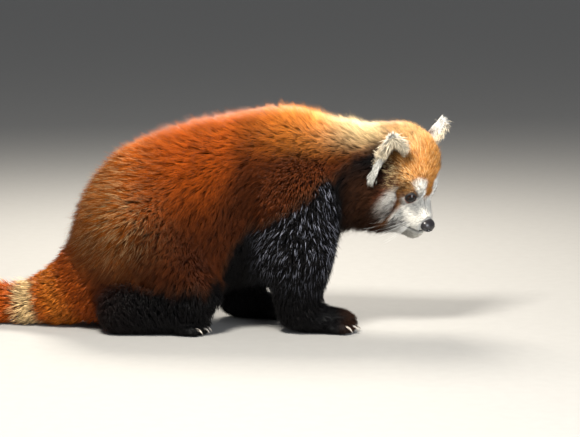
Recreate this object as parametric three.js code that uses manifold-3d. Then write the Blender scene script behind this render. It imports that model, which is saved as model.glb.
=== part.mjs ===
// A life-size red panda sitting on its haunches with one forefoot forward and its head lowered.
// Millimetres, +X towards the animal's front, +Y to its left, +Z up, floor at Z = 0.
import * as THREE from 'three';
import { LoftGeometry } from 'three/addons/geometries/LoftGeometry.js';
import { mergeVertices } from 'three/addons/utils/BufferGeometryUtils.js';
import Module from 'manifold-3d';

const wasm = await Module();
wasm.setup();
const { Manifold } = wasm;

// Driving dimensions
const GAP = 0.35; // between neighbouring pieces
// How finely each stretch of the body is meshed, then how far its facets may stray from that mesh
const BODY_MESH = { step: 11, stray: 3 };
const HEAD_MESH = { step: 5.2, stray: 1.0 };
const FOOT_MESH = { step: 6.2, stray: 2 };
const HEAD_CENTRE = new THREE.Vector3(256, -12, 199);
const HEAD_YAW = THREE.MathUtils.degToRad(33); // towards the animal's right
const HEAD_PITCH = THREE.MathUtils.degToRad(37.5); // nose down
const HEAD_ROLL = THREE.MathUtils.degToRad(8.5); // right ear low
const EYE_RADIUS = 8.2;
const EYE_BULGE = 2.2;
const CLAW_LENGTH = 11;
const CLAW_RADIUS = 1.9;
const SIDES = [
  { name: 'right', s: -1 },
  { name: 'left', s: 1 },
];

const FUR = {
  rust: [0x9c4a1e, 0.8],
  tan: [0xc98748, 0.8],
  black: [0x17110f, 0.75],
  white: [0xe6dfd0, 0.8],
  ring: [0xb06a35, 0.8],
  nose: [0x151213, 0.35],
  eye: [0x0d0807, 0.08],
  claw: [0xb9a99a, 0.4],
};

// Head frame: x forward along the face, y to the animal's left, z to the crown
const headFrame = new THREE.Matrix4()
  .makeRotationZ(-HEAD_YAW)
  .multiply(new THREE.Matrix4().makeRotationY(HEAD_PITCH))
  .multiply(new THREE.Matrix4().makeRotationX(HEAD_ROLL))
  .setPosition(HEAD_CENTRE);
const v3 = (x, y, z) => new THREE.Vector3(x, y, z);
const onHead = (x, y, z) => v3(x, y, z).applyMatrix4(headFrame);
const headWay = (x, y, z) => v3(x, y, z).transformDirection(headFrame);

// The coat's outline is a smooth union of masses: lobes are ellipsoids, limbs are tapered rounds.
// Each mass names the depth of long coat on it, which stands in locks over a core at half that depth.
const masses = [];
const lobe = (region, centre, radii, coat, turn = null) =>
  masses.push({ region, centre, radii, coat, turn: turn && turn.clone().invert() });
const limb = (region, a, ra, b, rb, coat) => masses.push({ region, a, ra, b, rb, coat });
const headTurn = new THREE.Quaternion().setFromRotationMatrix(headFrame);

function trunkMasses() {
  lobe('torso', v3(-92, 0, 94), v3(78, 80, 96), 22); // rump
  lobe('torso', v3(-38, 0, 146), v3(109, 80, 103), 24); // loin
  lobe('torso', v3(34, 0, 164), v3(110, 77, 108), 24); // ribs
  lobe('torso', v3(102, 0, 186), v3(82, 72, 98), 22); // withers and chest
  lobe('torso', v3(20, 0, 104), v3(104, 66, 56), 16); // belly
  lobe('torso', v3(138, -3, 160), v3(50, 58, 66), 16); // breast
  limb('neck', v3(140, -2, 210), 64, v3(214, -9, 204), 60, 20);
  lobe('neck', v3(200, -8, 165), v3(48, 46, 43), 16); // throat
  lobe('neck', v3(238, -10, 148), v3(34, 40, 30), 14);
}

function headMasses() {
  const part = (x, y, z, rx, ry, rz, coat) =>
    lobe('head', onHead(x, y, z), v3(rx, ry, rz), coat, headTurn);
  part(-9, 0, 9, 54, 51, 51, 0); // cranium
  part(10, 0, 7, 32, 30, 30, 0); // forehead
  for (const { s } of SIDES) {
    part(7, s * 34, -23, 32, 29, 33, 14); // cheek
    part(47, s * 9, -39, 16, 13, 12, 0); // whisker pad
    part(25, s * 15, 6, 11, 9, 9, 0); // brow
  }
  limb('head', onHead(20, 0, -18), 28, onHead(53.5, 0, -32), 16.5, 0); // muzzle
  limb('head', onHead(12, 0, -41), 27, onHead(53, 0, -52), 13.5, 0); // lower jaw
}

// Each leg: where its joints lie and how thick the coat makes it there
const FORELEG = {
  right: { shoulder: [122, 46, 172, 52], elbow: [123, 53, 100, 45], wrist: [124, 53, 36, 30], paw: 152 },
  left: { shoulder: [104, 44, 166, 48], elbow: [70, 50, 98, 39], wrist: [50, 50, 34, 28], paw: 70 },
};
const HINDLEG = {
  right: { hip: [-78, 40, 128, 62], knee: [-12, 60, 66, 44], ankle: [-96, 60, 36, 34], toe: -6 },
  left: { hip: [-80, 40, 128, 62], knee: [-28, 60, 64, 42], ankle: [-112, 60, 36, 34], toe: -26 },
};
const PAW = { length: 48, width: 26, height: 19, toes: 5, toeGap: 10.5, toeRadius: 8.2 };
const FOOT = { width: 25, height: 17, toes: 5, toeGap: 9.6, toeRadius: 7.8 };

function legMasses() {
  for (const { name, s } of SIDES) {
    const at = ([x, y, z]) => v3(x, s * y, z);
    const fore = FORELEG[name];
    limb('foreleg_' + name, at(fore.shoulder), fore.shoulder[3], at(fore.elbow), fore.elbow[3], 16);
    limb('foreleg_' + name, at(fore.elbow), fore.elbow[3], at(fore.wrist), fore.wrist[3], 0);
    lobe('forepaw_' + name, v3(fore.paw, s * fore.wrist[1], 16), v3(PAW.length, PAW.width, PAW.height), 0);
    const hind = HINDLEG[name];
    limb('thigh_' + name, at(hind.hip), hind.hip[3], at(hind.knee), hind.knee[3], 18);
    const shank = at(hind.knee).add(v3(4, s * 2, -16));
    limb('hindfoot_' + name, shank, hind.knee[3] - 6, at(hind.ankle), hind.ankle[3], 0);
    const heel = at(hind.ankle).add(v3(-2, s * 2, -14));
    limb('hindfoot_' + name, heel, 26, v3(hind.toe, s * 66, 15), FOOT.height + 1, 0);
    for (const toe of toesOf('forepaw_' + name)) limb(toe.region, toe.root, toe.r, toe.tip, toe.r, 0);
    for (const toe of toesOf('hindfoot_' + name)) limb(toe.region, toe.root, toe.r, toe.tip, toe.r, 0);
  }
}

// The five toes of a foot, fanned round its front end
function toesOf(region) {
  const [kind, side] = region.split('_');
  const s = side === 'right' ? -1 : 1;
  const fore = kind === 'forepaw';
  const size = fore ? PAW : FOOT;
  const front = fore ? FORELEG[side].paw + PAW.length - 15 : HINDLEG[side].toe + 5;
  const middle = fore ? FORELEG[side].wrist[1] : 66;
  const toes = [];
  for (let i = 0; i < size.toes; i += 1) {
    const across = i - (size.toes - 1) / 2;
    const back = 2.6 * across * across;
    const root = v3(front - back - 8, s * middle + across * size.toeGap * 0.85, size.toeRadius + 1);
    const tip = v3(front - back + 6, s * middle + across * size.toeGap, size.toeRadius - 0.6);
    toes.push({ region, root, tip, r: size.toeRadius, way: tip.clone().sub(root).setZ(0).normalize() });
  }
  return toes;
}

// The tail's middle line with its radius out to the tips, from the rump to the end
const TAIL = [
  [-128, 0, 62, 58],
  [-178, 3, 38, 37],
  [-220, 8, 27, 28],
  [-262, 16, 26, 27],
  [-318, 38, 32, 33],
  [-376, 72, 36, 37],
  [-428, 116, 36, 37],
  [-468, 162, 32, 33],
  [-490, 205, 26, 27],
];
function tailMasses() {
  TAIL.slice(1).forEach(([x, y, z, r], i) => {
    const [x0, y0, z0, r0] = TAIL[i];
    limb('tail', v3(x0, y0, z0), r0, v3(x, y, z), r, i < 2 ? 12 : 22);
  });
}

trunkMasses();
headMasses();
legMasses();
tailMasses();

// Distance from a point to one mass, negative inside, with the coat taken in by the given share
const q = v3(0, 0, 0);
function massDistance(m, p, share) {
  const inset = m.coat * share;
  if (m.centre) {
    q.subVectors(p, m.centre);
    if (m.turn) q.applyQuaternion(m.turn);
    const rx = m.radii.x - inset, ry = m.radii.y - inset, rz = m.radii.z - inset;
    const k0 = Math.hypot(q.x / rx, q.y / ry, q.z / rz);
    const k1 = Math.hypot(q.x / (rx * rx), q.y / (ry * ry), q.z / (rz * rz));
    return (k0 * (k0 - 1)) / Math.max(k1, 1e-9);
  }
  const ra = m.ra - inset, rb = m.rb - inset;
  const bax = m.b.x - m.a.x, bay = m.b.y - m.a.y, baz = m.b.z - m.a.z;
  const pax = p.x - m.a.x, pay = p.y - m.a.y, paz = p.z - m.a.z;
  const l2 = bax * bax + bay * bay + baz * baz;
  const rr = ra - rb, a2 = l2 - rr * rr;
  const y = pax * bax + pay * bay + paz * baz;
  const z = y - l2;
  const x2 = (pax * l2 - y * bax) ** 2 + (pay * l2 - y * bay) ** 2 + (paz * l2 - y * baz) ** 2;
  const y2 = y * y * l2, z2 = z * z * l2;
  const k = Math.sign(rr) * rr * rr * x2;
  if (Math.sign(z) * a2 * z2 > k) return Math.sqrt(x2 + z2) / l2 - rb;
  if (Math.sign(y) * a2 * y2 < k) return Math.sqrt(x2 + y2) / l2 - ra;
  return (Math.sqrt(x2 * a2 / l2) + y * rr) / l2 - ra;
}

// Smooth minimum of two distances, rounded over a width k
function melt(a, b, k) {
  const h = Math.max(k - Math.abs(a - b), 0) / k;
  return Math.min(a, b) - (h * h * k) / 4;
}

const WITHIN = { torso: 34, neck: 26, head: 12, forepaw: 3, hindfoot: 6 };
const BETWEEN = { head: 16, tail: 16, forepaw: 12, hindfoot: 12 };
const groups = new Map();
for (const m of masses) groups.set(m.region, [...(groups.get(m.region) || []), m]);

function bodyDistance(p, share) {
  let all = Infinity;
  for (const [region, members] of groups) {
    const kind = region.split('_')[0];
    let d = Infinity;
    for (const m of members) {
      const near = massDistance(m, p, share);
      d = d === Infinity ? near : melt(d, near, WITHIN[kind] || 16);
    }
    all = all === Infinity ? d : melt(all, d, BETWEEN[kind] || 26);
  }
  return all;
}

// The point where a ray from inside the body leaves its surface
function surfaceFrom(start, way, reach = 90) {
  let near = 0, far = reach;
  for (let i = 0; i < 24; i += 1) {
    const mid = (near + far) / 2;
    if (bodyDistance(start.clone().addScaledVector(way, mid), 0) < 0) near = mid;
    else far = mid;
  }
  return start.clone().addScaledVector(way, near);
}

// The point of the core under the long coat, on a ray from inside the body
function coreFrom(start, way, reach = 150) {
  let near = 0, far = reach;
  for (let i = 0; i < 20; i += 1) {
    const mid = (near + far) / 2;
    if (bodyDistance(start.clone().addScaledVector(way, mid), 0.5) < 0) near = mid;
    else far = mid;
  }
  return start.clone().addScaledVector(way, near);
}

// Closed surface of the body inside a box, one vertex for each grid cell that the surface crosses
function skinOf(low, high, { step, stray }, share) {
  const n = [0, 1, 2].map((i) => Math.ceil((high.getComponent(i) - low.getComponent(i)) / step) + 1);
  const at = (i, j, k) => i + n[0] * (j + n[1] * k);
  const value = new Float64Array(n[0] * n[1] * n[2]);
  const p = v3(0, 0, 0);
  for (let k = 0; k < n[2]; k += 1)
    for (let j = 0; j < n[1]; j += 1)
      for (let i = 0; i < n[0]; i += 1) {
        p.set(low.x + i * step, low.y + j * step, low.z + k * step);
        const rim = !i || !j || !k || i === n[0] - 1 || j === n[1] - 1 || k === n[2] - 1;
        value[at(i, j, k)] = rim ? step : bodyDistance(p, share);
      }
  const places = [];
  const vertexOf = new Map();
  for (let k = 0; k < n[2] - 1; k += 1)
    for (let j = 0; j < n[1] - 1; j += 1)
      for (let i = 0; i < n[0] - 1; i += 1) {
        const sum = v3(0, 0, 0);
        let crossings = 0;
        for (let axis = 0; axis < 3; axis += 1)
          for (let c = 0; c < 4; c += 1) {
            const o = [0, 0, 0];
            o[(axis + 1) % 3] = c & 1;
            o[(axis + 2) % 3] = c >> 1;
            const a = value[at(i + o[0], j + o[1], k + o[2])];
            const end = [...o];
            end[axis] = 1;
            const b = value[at(i + end[0], j + end[1], k + end[2])];
            if (a < 0 === b < 0) continue;
            o[axis] = a / (a - b);
            sum.add(v3(...o));
            crossings += 1;
          }
        if (!crossings) continue;
        sum.divideScalar(crossings).add(v3(i, j, k)).multiplyScalar(step).add(low);
        vertexOf.set(at(i, j, k), places.length);
        places.push(sum);
      }
  const faces = [];
  const stride = [1, n[0], n[0] * n[1]];
  for (let k = 0; k < n[2] - 1; k += 1)
    for (let j = 0; j < n[1] - 1; j += 1)
      for (let i = 0; i < n[0] - 1; i += 1)
        for (let axis = 0; axis < 3; axis += 1) {
          const here = at(i, j, k);
          if (!(i || axis === 0) || !(j || axis === 1) || !(k || axis === 2)) continue;
          const inside = value[here] < 0;
          if (inside === value[here + stride[axis]] < 0) continue;
          const u = stride[(axis + 1) % 3], w = stride[(axis + 2) % 3];
          const ring = [here - u - w, here - w, here, here - u].map((c) => vertexOf.get(c));
          if (!inside) ring.reverse();
          const [a, b, c, d] = ring;
          if (places[a].distanceTo(places[c]) < places[b].distanceTo(places[d])) faces.push(a, b, c, a, c, d);
          else faces.push(a, b, d, b, c, d);
        }
  const geometry = new THREE.BufferGeometry();
  geometry.setAttribute('position', new THREE.Float32BufferAttribute(places.flatMap((s) => s.toArray()), 3));
  geometry.setIndex(faces);
  return solid(geometry).simplify(stray);
}

// Which region's masses a point lies nearest to
function regionAt(p) {
  let best = Infinity, name = '';
  for (const [region, members] of groups)
    for (const m of members) {
      const d = massDistance(m, p, 0);
      if (d < best) [best, name] = [d, region];
    }
  return name;
}

// The way out of the body at a point
function outward(p, share) {
  const e = 0.5, at = p.clone();
  const slope = (axis) => {
    at.copy(p)[axis] += e;
    const ahead = bodyDistance(at, share);
    at[axis] -= 2 * e;
    return ahead - bodyDistance(at, share);
  };
  return v3(slope('x'), slope('y'), slope('z')).normalize();
}

// Moves a point straight in or out until the given share of the coat lies over it
function settle(p, share) {
  for (let i = 0; i < 3; i += 1) p.addScaledVector(outward(p, share), -bodyDistance(p, share));
  return p;
}

// Which way the coat lies: back and down the body, down the legs, along the tail, away from the nose
const LIE = {
  torso: v3(-1, 0, -0.35), neck: v3(-0.85, 0, -0.4), thigh: v3(-0.6, 0, -0.8),
  foreleg: v3(-0.35, 0, -1), hindfoot: v3(0.5, 0, -0.8), forepaw: v3(0.8, 0, -0.5),
};
function lieAt(p) {
  const kind = regionAt(p).split('_')[0];
  if (kind === 'head') return p.clone().sub(onHead(70, 0, -20)).normalize();
  if (kind !== 'tail') return LIE[kind].clone().normalize();
  let best = Infinity;
  const way = v3(-1, 0, 0);
  TAIL.slice(1).forEach((end, i) => {
    const here = v3(...end), before = v3(...TAIL[i]);
    const d = here.clone().add(before).divideScalar(2).distanceTo(p);
    if (d < best) {
      best = d;
      way.copy(here).sub(before);
    }
  });
  return way.normalize();
}

// A closed geometry as a solid that can be joined and cut
function solid(geometry) {
  const bare = geometry.index ? geometry.toNonIndexed() : geometry.clone();
  for (const name of Object.keys(bare.attributes)) if (name !== 'position') bare.deleteAttribute(name);
  const merged = mergeVertices(bare, 1e-3);
  return new Manifold(new wasm.Mesh({
    numProp: 3,
    vertProperties: merged.attributes.position.array,
    triVerts: new Uint32Array(merged.index.array),
  }));
}

// The largest closed body of a solid
const largest = (s) => s.decompose().sort((a, b) => b.volume() - a.volume())[0];

function geometryOf(s) {
  const m = s.getMesh();
  const places = new Float32Array(m.numVert * 3);
  for (let i = 0; i < m.numVert; i += 1)
    places.set(m.vertProperties.subarray(i * m.numProp, i * m.numProp + 3), i * 3);
  const geometry = new THREE.BufferGeometry();
  geometry.setAttribute('position', new THREE.BufferAttribute(places, 3));
  geometry.setIndex(new THREE.BufferAttribute(m.triVerts, 1));
  return geometry.toNonIndexed();
}

// A closed loft through rings of points that all turn the same way round
function loft(rings) {
  const middle = (ring) => ring.reduce((sum, p) => sum.add(p), v3(0, 0, 0)).divideScalar(ring.length);
  const along = middle(rings[1]).sub(middle(rings[0]));
  const face = v3(0, 0, 0);
  rings[0].forEach((p, i) => face.add(p.clone().cross(rings[0][(i + 1) % rings[0].length])));
  const turned = face.dot(along) < 0 ? rings.map((ring) => [...ring].reverse()) : rings;
  return solid(new LoftGeometry(turned, { capStart: true, capEnd: true }));
}

const ball = (centre, radii, turn = null, rows = 14) => {
  const g = new THREE.SphereGeometry(1, rows * 2, rows).scale(radii.x, radii.y, radii.z);
  if (turn) g.applyQuaternion(turn);
  return solid(g.translate(centre.x, centre.y, centre.z));
};
const block = (low, high) => {
  const size = high.clone().sub(low);
  const g = new THREE.BoxGeometry(size.x, size.y, size.z);
  return solid(g.translate(...low.clone().add(high).divideScalar(2).toArray()));
};
// Everything on the far side of a plane through a point
const beyond = (point, way) => {
  const turn = new THREE.Quaternion().setFromUnitVectors(v3(1, 0, 0), way.clone().normalize());
  const reach = 700;
  const g = new THREE.BoxGeometry(reach, reach, reach).translate(reach / 2, 0, 0).applyQuaternion(turn);
  return solid(g.translate(point.x, point.y, point.z));
};

// Zones of space that part the body into pieces, each able to grow by the gap
const HEAD_CUT = { point: v3(222, -8, 190), way: v3(0.9, -0.35, 0.12) };
const NECK_CUT = { point: v3(166, 0, 205), way: v3(0.99, 0, 0.12) };
const shifted = (cut, grow) => cut.point.clone().addScaledVector(cut.way.clone().normalize(), -grow);
const zones = {
  head: (g) => beyond(shifted(HEAD_CUT, g), HEAD_CUT.way),
};
for (const { name, s } of SIDES) {
  const fore = FORELEG[name];
  const near = (x0, x1, y0, y1, z0, z1, g) => {
    const ys = [s * y0, s * y1].sort((a, b) => a - b);
    return block(v3(x0 - g, ys[0] - g, z0 - g), v3(x1 + g, ys[1] + g, z1 + g));
  };
  const wrist = 34;
  zones['forepaw_' + name] = (g) =>
    near(fore.wrist[0] - 38, fore.wrist[0] + 95, 12, 105, -20, wrist, g);
  zones['foreleg_' + name] = (g) => {
    const knee = near(fore.wrist[0] - 36, fore.wrist[0] + 42, 17, 110, -20, 62, g);
    const middle = v3((fore.shoulder[0] + fore.elbow[0]) / 2 + 2, s * 84, 124);
    const lean = new THREE.Quaternion().setFromAxisAngle(
      v3(0, 1, 0), Math.atan2(fore.shoulder[0] - fore.wrist[0], fore.shoulder[2] - fore.wrist[2]));
    return ball(middle, v3(58 + g, 66 + g, 100 + g), lean, 6).add(knee);
  };
  const hind = HINDLEG[name];
  zones['hindfoot_' + name] = (g) =>
    near(hind.ankle[0] - 42, hind.toe + 46, 26, 120, -20, 200, g)
      .intersect(beyond(v3(-60, s * 60, 57 + g), v3(0.1, 0, -1)));
  const haunch = v3(hind.knee[0] - 42, s * 96, 92);
  zones['thigh_' + name] = (g) => ball(haunch, v3(88 + g, 74 + g, 92 + g), null, 6);
}
zones.neck = (g) => beyond(shifted(NECK_CUT, g), NECK_CUT.way);
const TAIL_CUTS = [2, 4, 6];
const tailCut = (i) => {
  const here = v3(...TAIL[i]);
  return { point: here, way: v3(...TAIL[i + 1]).sub(v3(...TAIL[i - 1])).setZ(0) };
};
[...TAIL_CUTS].reverse().forEach((cut, i) => {
  const { point, way } = tailCut(cut);
  const zone = (g) => beyond(point.clone().addScaledVector(way.normalize(), -g), way);
  zones['tail_' + (TAIL_CUTS.length - i)] = zone;
});

// The eyes: where the ball lies in the head and which way it looks
const eyes = SIDES.map(({ name, s }) => {
  const way = headWay(0.74, s * 0.66, 0.1);
  const front = surfaceFrom(onHead(40, s * 26, -3).addScaledVector(way, -20), way);
  return { name, way, centre: front.addScaledVector(way, EYE_BULGE - EYE_RADIUS) };
});
const eyeball = (eye, grow) =>
  ball(eye.centre, v3(1, 1, 1).multiplyScalar(EYE_RADIUS + grow), null, 6);
// The rim of both lids round an eye, an almond ring that the ball looks out of
function lidRing({ centre, way }) {
  const turn = new THREE.Matrix4().lookAt(way, v3(0, 0, 0), headWay(0, 0, 1));
  const ring = new THREE.TorusGeometry(7.2, 2.3, 5, 10).scale(1.08, 0.86, 1.3).applyMatrix4(turn);
  return solid(ring.translate(...centre.clone().addScaledVector(way, 3.4).toArray()));
}

// A lock of the coat: flat and tapered, its root sunk in the core, rising along the lie to the tips
let seed = 7;
function random() {
  seed = (seed * 48271) % 2147483647;
  return seed / 2147483647;
}
const LOCK = { sink: 6, steps: [0, 0.22, 0.68, 1], widths: [0.6, 1, 0.66, 0.04], thick: 3.8 };
const varied = (size) => size * (0.9 + 0.2 * random());
function lock(root, length, width, way = null) {
  const place = root.clone();
  const rings = [];
  let done = 0, folded = false;
  const last = v3(0, 0, 0);
  LOCK.steps.forEach((t, i) => {
    const normal = outward(place, 0.5);
    const along = way ? way.clone() : lieAt(place);
    along.addScaledVector(normal, -along.dot(normal)).normalize();
    if (i) settle(place.addScaledVector(along, length * (t - done)), 0.5 * (1 - t ** 0.55));
    done = t;
    const across = along.clone().cross(normal);
    folded ||= i > 0 && across.dot(last) < 0.55;
    last.copy(across);
    across.multiplyScalar((width / 2) * LOCK.widths[i]);
    const thick = LOCK.thick * (1 - 0.85 * t);
    const under = place.clone().addScaledVector(normal, i ? -thick : -LOCK.sink);
    const ridge = under.clone().addScaledVector(normal, thick);
    rings.push([under.clone().add(across), ridge, under.clone().sub(across)]);
  });
  // One that would fold over itself in a crease of the body is left out
  const made = loft(rings);
  return folded || made.volume() < 0 ? [] : [made];
}

// The trunk's middle line, round which the locks of the body stand in tiers
const SPINE = [
  [-150, 0, 96], [-112, 0, 108], [-74, 0, 118], [-36, 0, 128], [2, 0, 136],
  [40, 0, 144], [78, 0, 156], [116, 0, 172], [152, -4, 186], [188, -7, 192],
];
const ELBOW_TOP = 96; // long coat ends here on the foreleg
const TIER = { gap: 58, radius: 110, end: 2.3, length: 82, width: 52 };
function bodyLocks() {
  const made = [];
  SPINE.forEach((place, i) => {
    const centre = v3(...place);
    for (const { s } of SIDES) {
      // Every second tier stands half a gap round, and the row on the midline is made once
      const first = i % 2 ? 0.5 : 0;
      let angle = ((s > 0 && !first ? 1 : first) * TIER.gap) / TIER.radius;
      while (angle < TIER.end) {
        const way = v3(0, s * Math.sin(angle), Math.cos(angle));
        const root = coreFrom(centre, way);
        const reach = root.distanceTo(centre);
        angle += TIER.gap / reach;
        const kind = regionAt(root).split('_')[0];
        if (reach > 125 || ['head', 'hindfoot', 'forepaw', 'tail'].includes(kind)) continue;
        if (kind === 'foreleg' && root.z < ELBOW_TOP) continue;
        made.push(...lock(root, varied(TIER.length), varied(TIER.width)));
      }
    }
  });
  return made;
}

// The tail's locks stand in rings round its middle line
const RING = { gap: 66, length: 88, width: 36, around: 5 };
function tailLocks() {
  const made = [];
  let along = 0, ring = 0;
  TAIL.slice(1).forEach(([x, y, z], i) => {
    const before = v3(...TAIL[i]), after = v3(x, y, z);
    const length = before.distanceTo(after);
    while (along < length) {
      const centre = before.clone().lerp(after, along / length);
      const way = after.clone().sub(before).normalize();
      const across = v3(-way.y, way.x, 0).normalize();
      const up = way.clone().cross(across);
      for (let j = 0; j < RING.around; j += 1) {
        const angle = ((j + random() * 0.15 + (ring % 2) * 0.5) / RING.around) * Math.PI * 2;
        const out = across.clone().multiplyScalar(Math.cos(angle)).addScaledVector(up, Math.sin(angle));
        const root = coreFrom(centre, out);
        if (root.z < 6 || root.distanceTo(centre) > 70) continue;
        made.push(...lock(root, varied(RING.length), RING.width, way));
      }
      along += RING.gap;
      ring += 1;
    }
    along -= length;
  });
  return made;
}

// The ruff of each cheek: rows of locks that sweep back and down from the muzzle to the neck
const RUFF = {
  length: 44, width: 30, locks: 3,
  rows: [{ x: 20, from: -1, to: 0.5 }, { x: -2, from: -1.2, to: 0.8 }],
};
function ruffLocks() {
  const made = [];
  for (const { s } of SIDES)
    for (const { x, from, to } of RUFF.rows)
      for (let i = 0; i < RUFF.locks; i += 1) {
        const angle = from + ((to - from) * (i + 0.2 * random())) / (RUFF.locks - 1);
        const root = coreFrom(onHead(x, s * 20, -22), headWay(0.1, s * Math.cos(angle), Math.sin(angle)));
        made.push(...lock(root, varied(RUFF.length), RUFF.width));
      }
  return made;
}

// The nose pad with its two nostrils and the cleft under it
const NOSE = { centre: [67.5, 0, -33], radii: [10, 10.5, 8.5] };
const nosePad = (grow) =>
  ball(onHead(...NOSE.centre), v3(...NOSE.radii).addScalar(grow), headTurn, 6);
function nose() {
  let pad = nosePad(0);
  for (const { s } of SIDES) {
    pad = pad.subtract(ball(onHead(76.5, s * 4.4, -34.5), v3(3.6, 2.1, 2.1), headTurn, 3));
    pad = pad.subtract(ball(onHead(73, s * 8.6, -34.2), v3(3.4, 2.6, 1.2), headTurn, 3));
  }
  return pad.subtract(ball(onHead(76.5, 0, -39), v3(3, 0.9, 5), headTurn, 3));
}

// The line of the mouth: a groove along the lips from one corner round the front to the other
function mouthGroove() {
  const reach = THREE.MathUtils.degToRad(84), steps = 12;
  const sections = [];
  for (let i = 0; i <= steps; i += 1) {
    const angle = reach * ((2 * i) / steps - 1);
    const lift = 4.2 * Math.abs(Math.sin(angle));
    const way = headWay(Math.cos(angle), Math.sin(angle), 0.02);
    const centre = surfaceFrom(onHead(40, 0, -44.5 + lift), way);
    const up = headWay(0, 0, 1);
    const half = 1.5 * (1 - 0.6 * (angle / reach) ** 4);
    sections.push([
      centre.clone().addScaledVector(way, 3),
      centre.clone().addScaledVector(up, -half),
      centre.clone().addScaledVector(way, -3.2 * half / 1.5),
      centre.clone().addScaledVector(up, half),
    ]);
  }
  return loft(sections);
}

// An ear: a leaf cupped towards its opening, whose outer edge runs down the side of the head.
// across = -1 is its outer edge and 1 its inner edge, up = 0 is its root and 1 its tip.
const EAR = { height: 34, sink: 12, skirt: 28, width: 16, flare: 1.6, cup: 10, thick: 6 };
const ears = SIDES.map(({ name, s }) => {
  const tip = headWay(-0.22, s * 0.5, 0.84);
  const open = headWay(0.8, s * 0.35, -0.25);
  open.addScaledVector(tip, -open.dot(tip)).normalize();
  const inward = tip.clone().cross(open).multiplyScalar(-s);
  return { name, root: onHead(-8, s * 38, 37), tip, open, inward };
});
function earPoint({ root, tip, open, inward }, across, up, out) {
  const half = EAR.width * Math.sqrt(Math.max(1 - Math.max(up, 0) ** 3.2, 0.02));
  const reach = half * (across < 0 ? 1 + EAR.flare * (1 - up) ** 2 : 1);
  const foot = -EAR.sink - (EAR.skirt - EAR.sink) * (1 - across) * 0.5;
  const rise = foot + (EAR.height - foot) * up;
  const hollow = EAR.cup * (half / EAR.width) * across * across + 6 * up * up;
  return root.clone().addScaledVector(tip, rise)
    .addScaledVector(inward, reach * across)
    .addScaledVector(open, hollow + out - 6);
}
function earLeaf(ear, grow) {
  const rows = 6, columns = 4;
  const rings = [];
  for (let i = 0; i <= rows; i += 1) {
    const up = Math.sin((i / rows) * Math.PI * 0.5) - (i ? 0 : 0.02 * grow);
    const ring = [];
    const thick = EAR.thick * (1 - 0.4 * up);
    for (let j = 0; j <= columns; j += 1) {
      const across = (2 * j) / columns - 1;
      ring.push(earPoint(ear, across * (1 + grow / 20), Math.min(up, 1), -grow));
    }
    for (let j = columns; j >= 0; j -= 1) {
      const across = (2 * j) / columns - 1;
      const inner = thick * (1 - 0.5 * across * across) + grow;
      ring.push(earPoint(ear, across * (0.9 + grow / 20), Math.min(up, 1), inner));
    }
    rings.push(ring);
  }
  return loft(rings);
}

// The long white hair of an ear's rim: small locks that fan out and up from both edges
const FRINGE = { length: 10, width: 14, thick: 3, heights: [0.5, 0.7, 0.9] };
function earFringe(ear) {
  const made = [];
  for (const side of [-1, 1])
    for (const up of FRINGE.heights) {
      const way = ear.inward.clone().multiplyScalar(side * (0.9 - 0.6 * up));
      way.addScaledVector(ear.tip, 0.35 + 0.6 * up);
      way.addScaledVector(ear.open, 0.25 * random()).normalize();
      const across = way.clone().cross(ear.open).normalize();
      const root = earPoint(ear, side * 0.72, up, 3);
      const length = FRINGE.length * (0.85 + 0.3 * random());
      made.push(loft([0, 0.5, 1].map((t) => {
        const middle = root.clone().addScaledVector(way, length * t).addScaledVector(ear.open, 2.4 * t * t);
        const half = (FRINGE.width / 2) * [0.8, 1, 0.08][t * 2];
        return [
          middle.clone().addScaledVector(across, half),
          middle.clone().addScaledVector(ear.open, FRINGE.thick * (1 - 0.8 * t)),
          middle.clone().addScaledVector(across, -half),
        ];
      })));
    }
  return made;
}

// A claw: a short curved cone that leaves the top of the toe and points down
function claw(toe, grow) {
  const steps = 3, sides = 4;
  const across = v3(-toe.way.y, toe.way.x, 0);
  const start = toe.tip.clone().addScaledVector(toe.way, toe.r - 5).add(v3(0, 0, 2.2));
  const sections = [];
  for (let i = 0; i <= steps; i += 1) {
    const t = i / steps;
    const bend = 1.15 * t;
    const r = CLAW_RADIUS * (1 - 0.86 * t) + grow;
    const reach = i === 0 ? -grow : CLAW_LENGTH * t + (i === steps ? grow : 0);
    const centre = start.clone().addScaledVector(toe.way, reach * Math.cos(bend * 0.55));
    centre.z -= reach * Math.sin(bend * 0.55);
    const ring = [];
    for (let j = 0; j < sides; j += 1) {
      const a = (j / sides) * Math.PI * 2;
      const up = v3(toe.way.x * Math.sin(bend), toe.way.y * Math.sin(bend), Math.cos(bend));
      const place = centre.clone().addScaledVector(across, r * Math.cos(a));
      ring.push(place.addScaledVector(up, r * 1.25 * Math.sin(a)));
    }
    sections.push(ring);
  }
  return loft(sections);
}

// The whole animal meshed coarsely for the trunk and finely for the head and feet
const FLOOR = block(v3(-700, -300, 0), v3(500, 400, 500));
const pieces = new Map();
const add = (name, made, fur) => {
  const whole = largest(made.intersect(FLOOR)).simplify(0.08);
  pieces.set(name, { made: largest(solid(geometryOf(whole))), fur });
};

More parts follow.
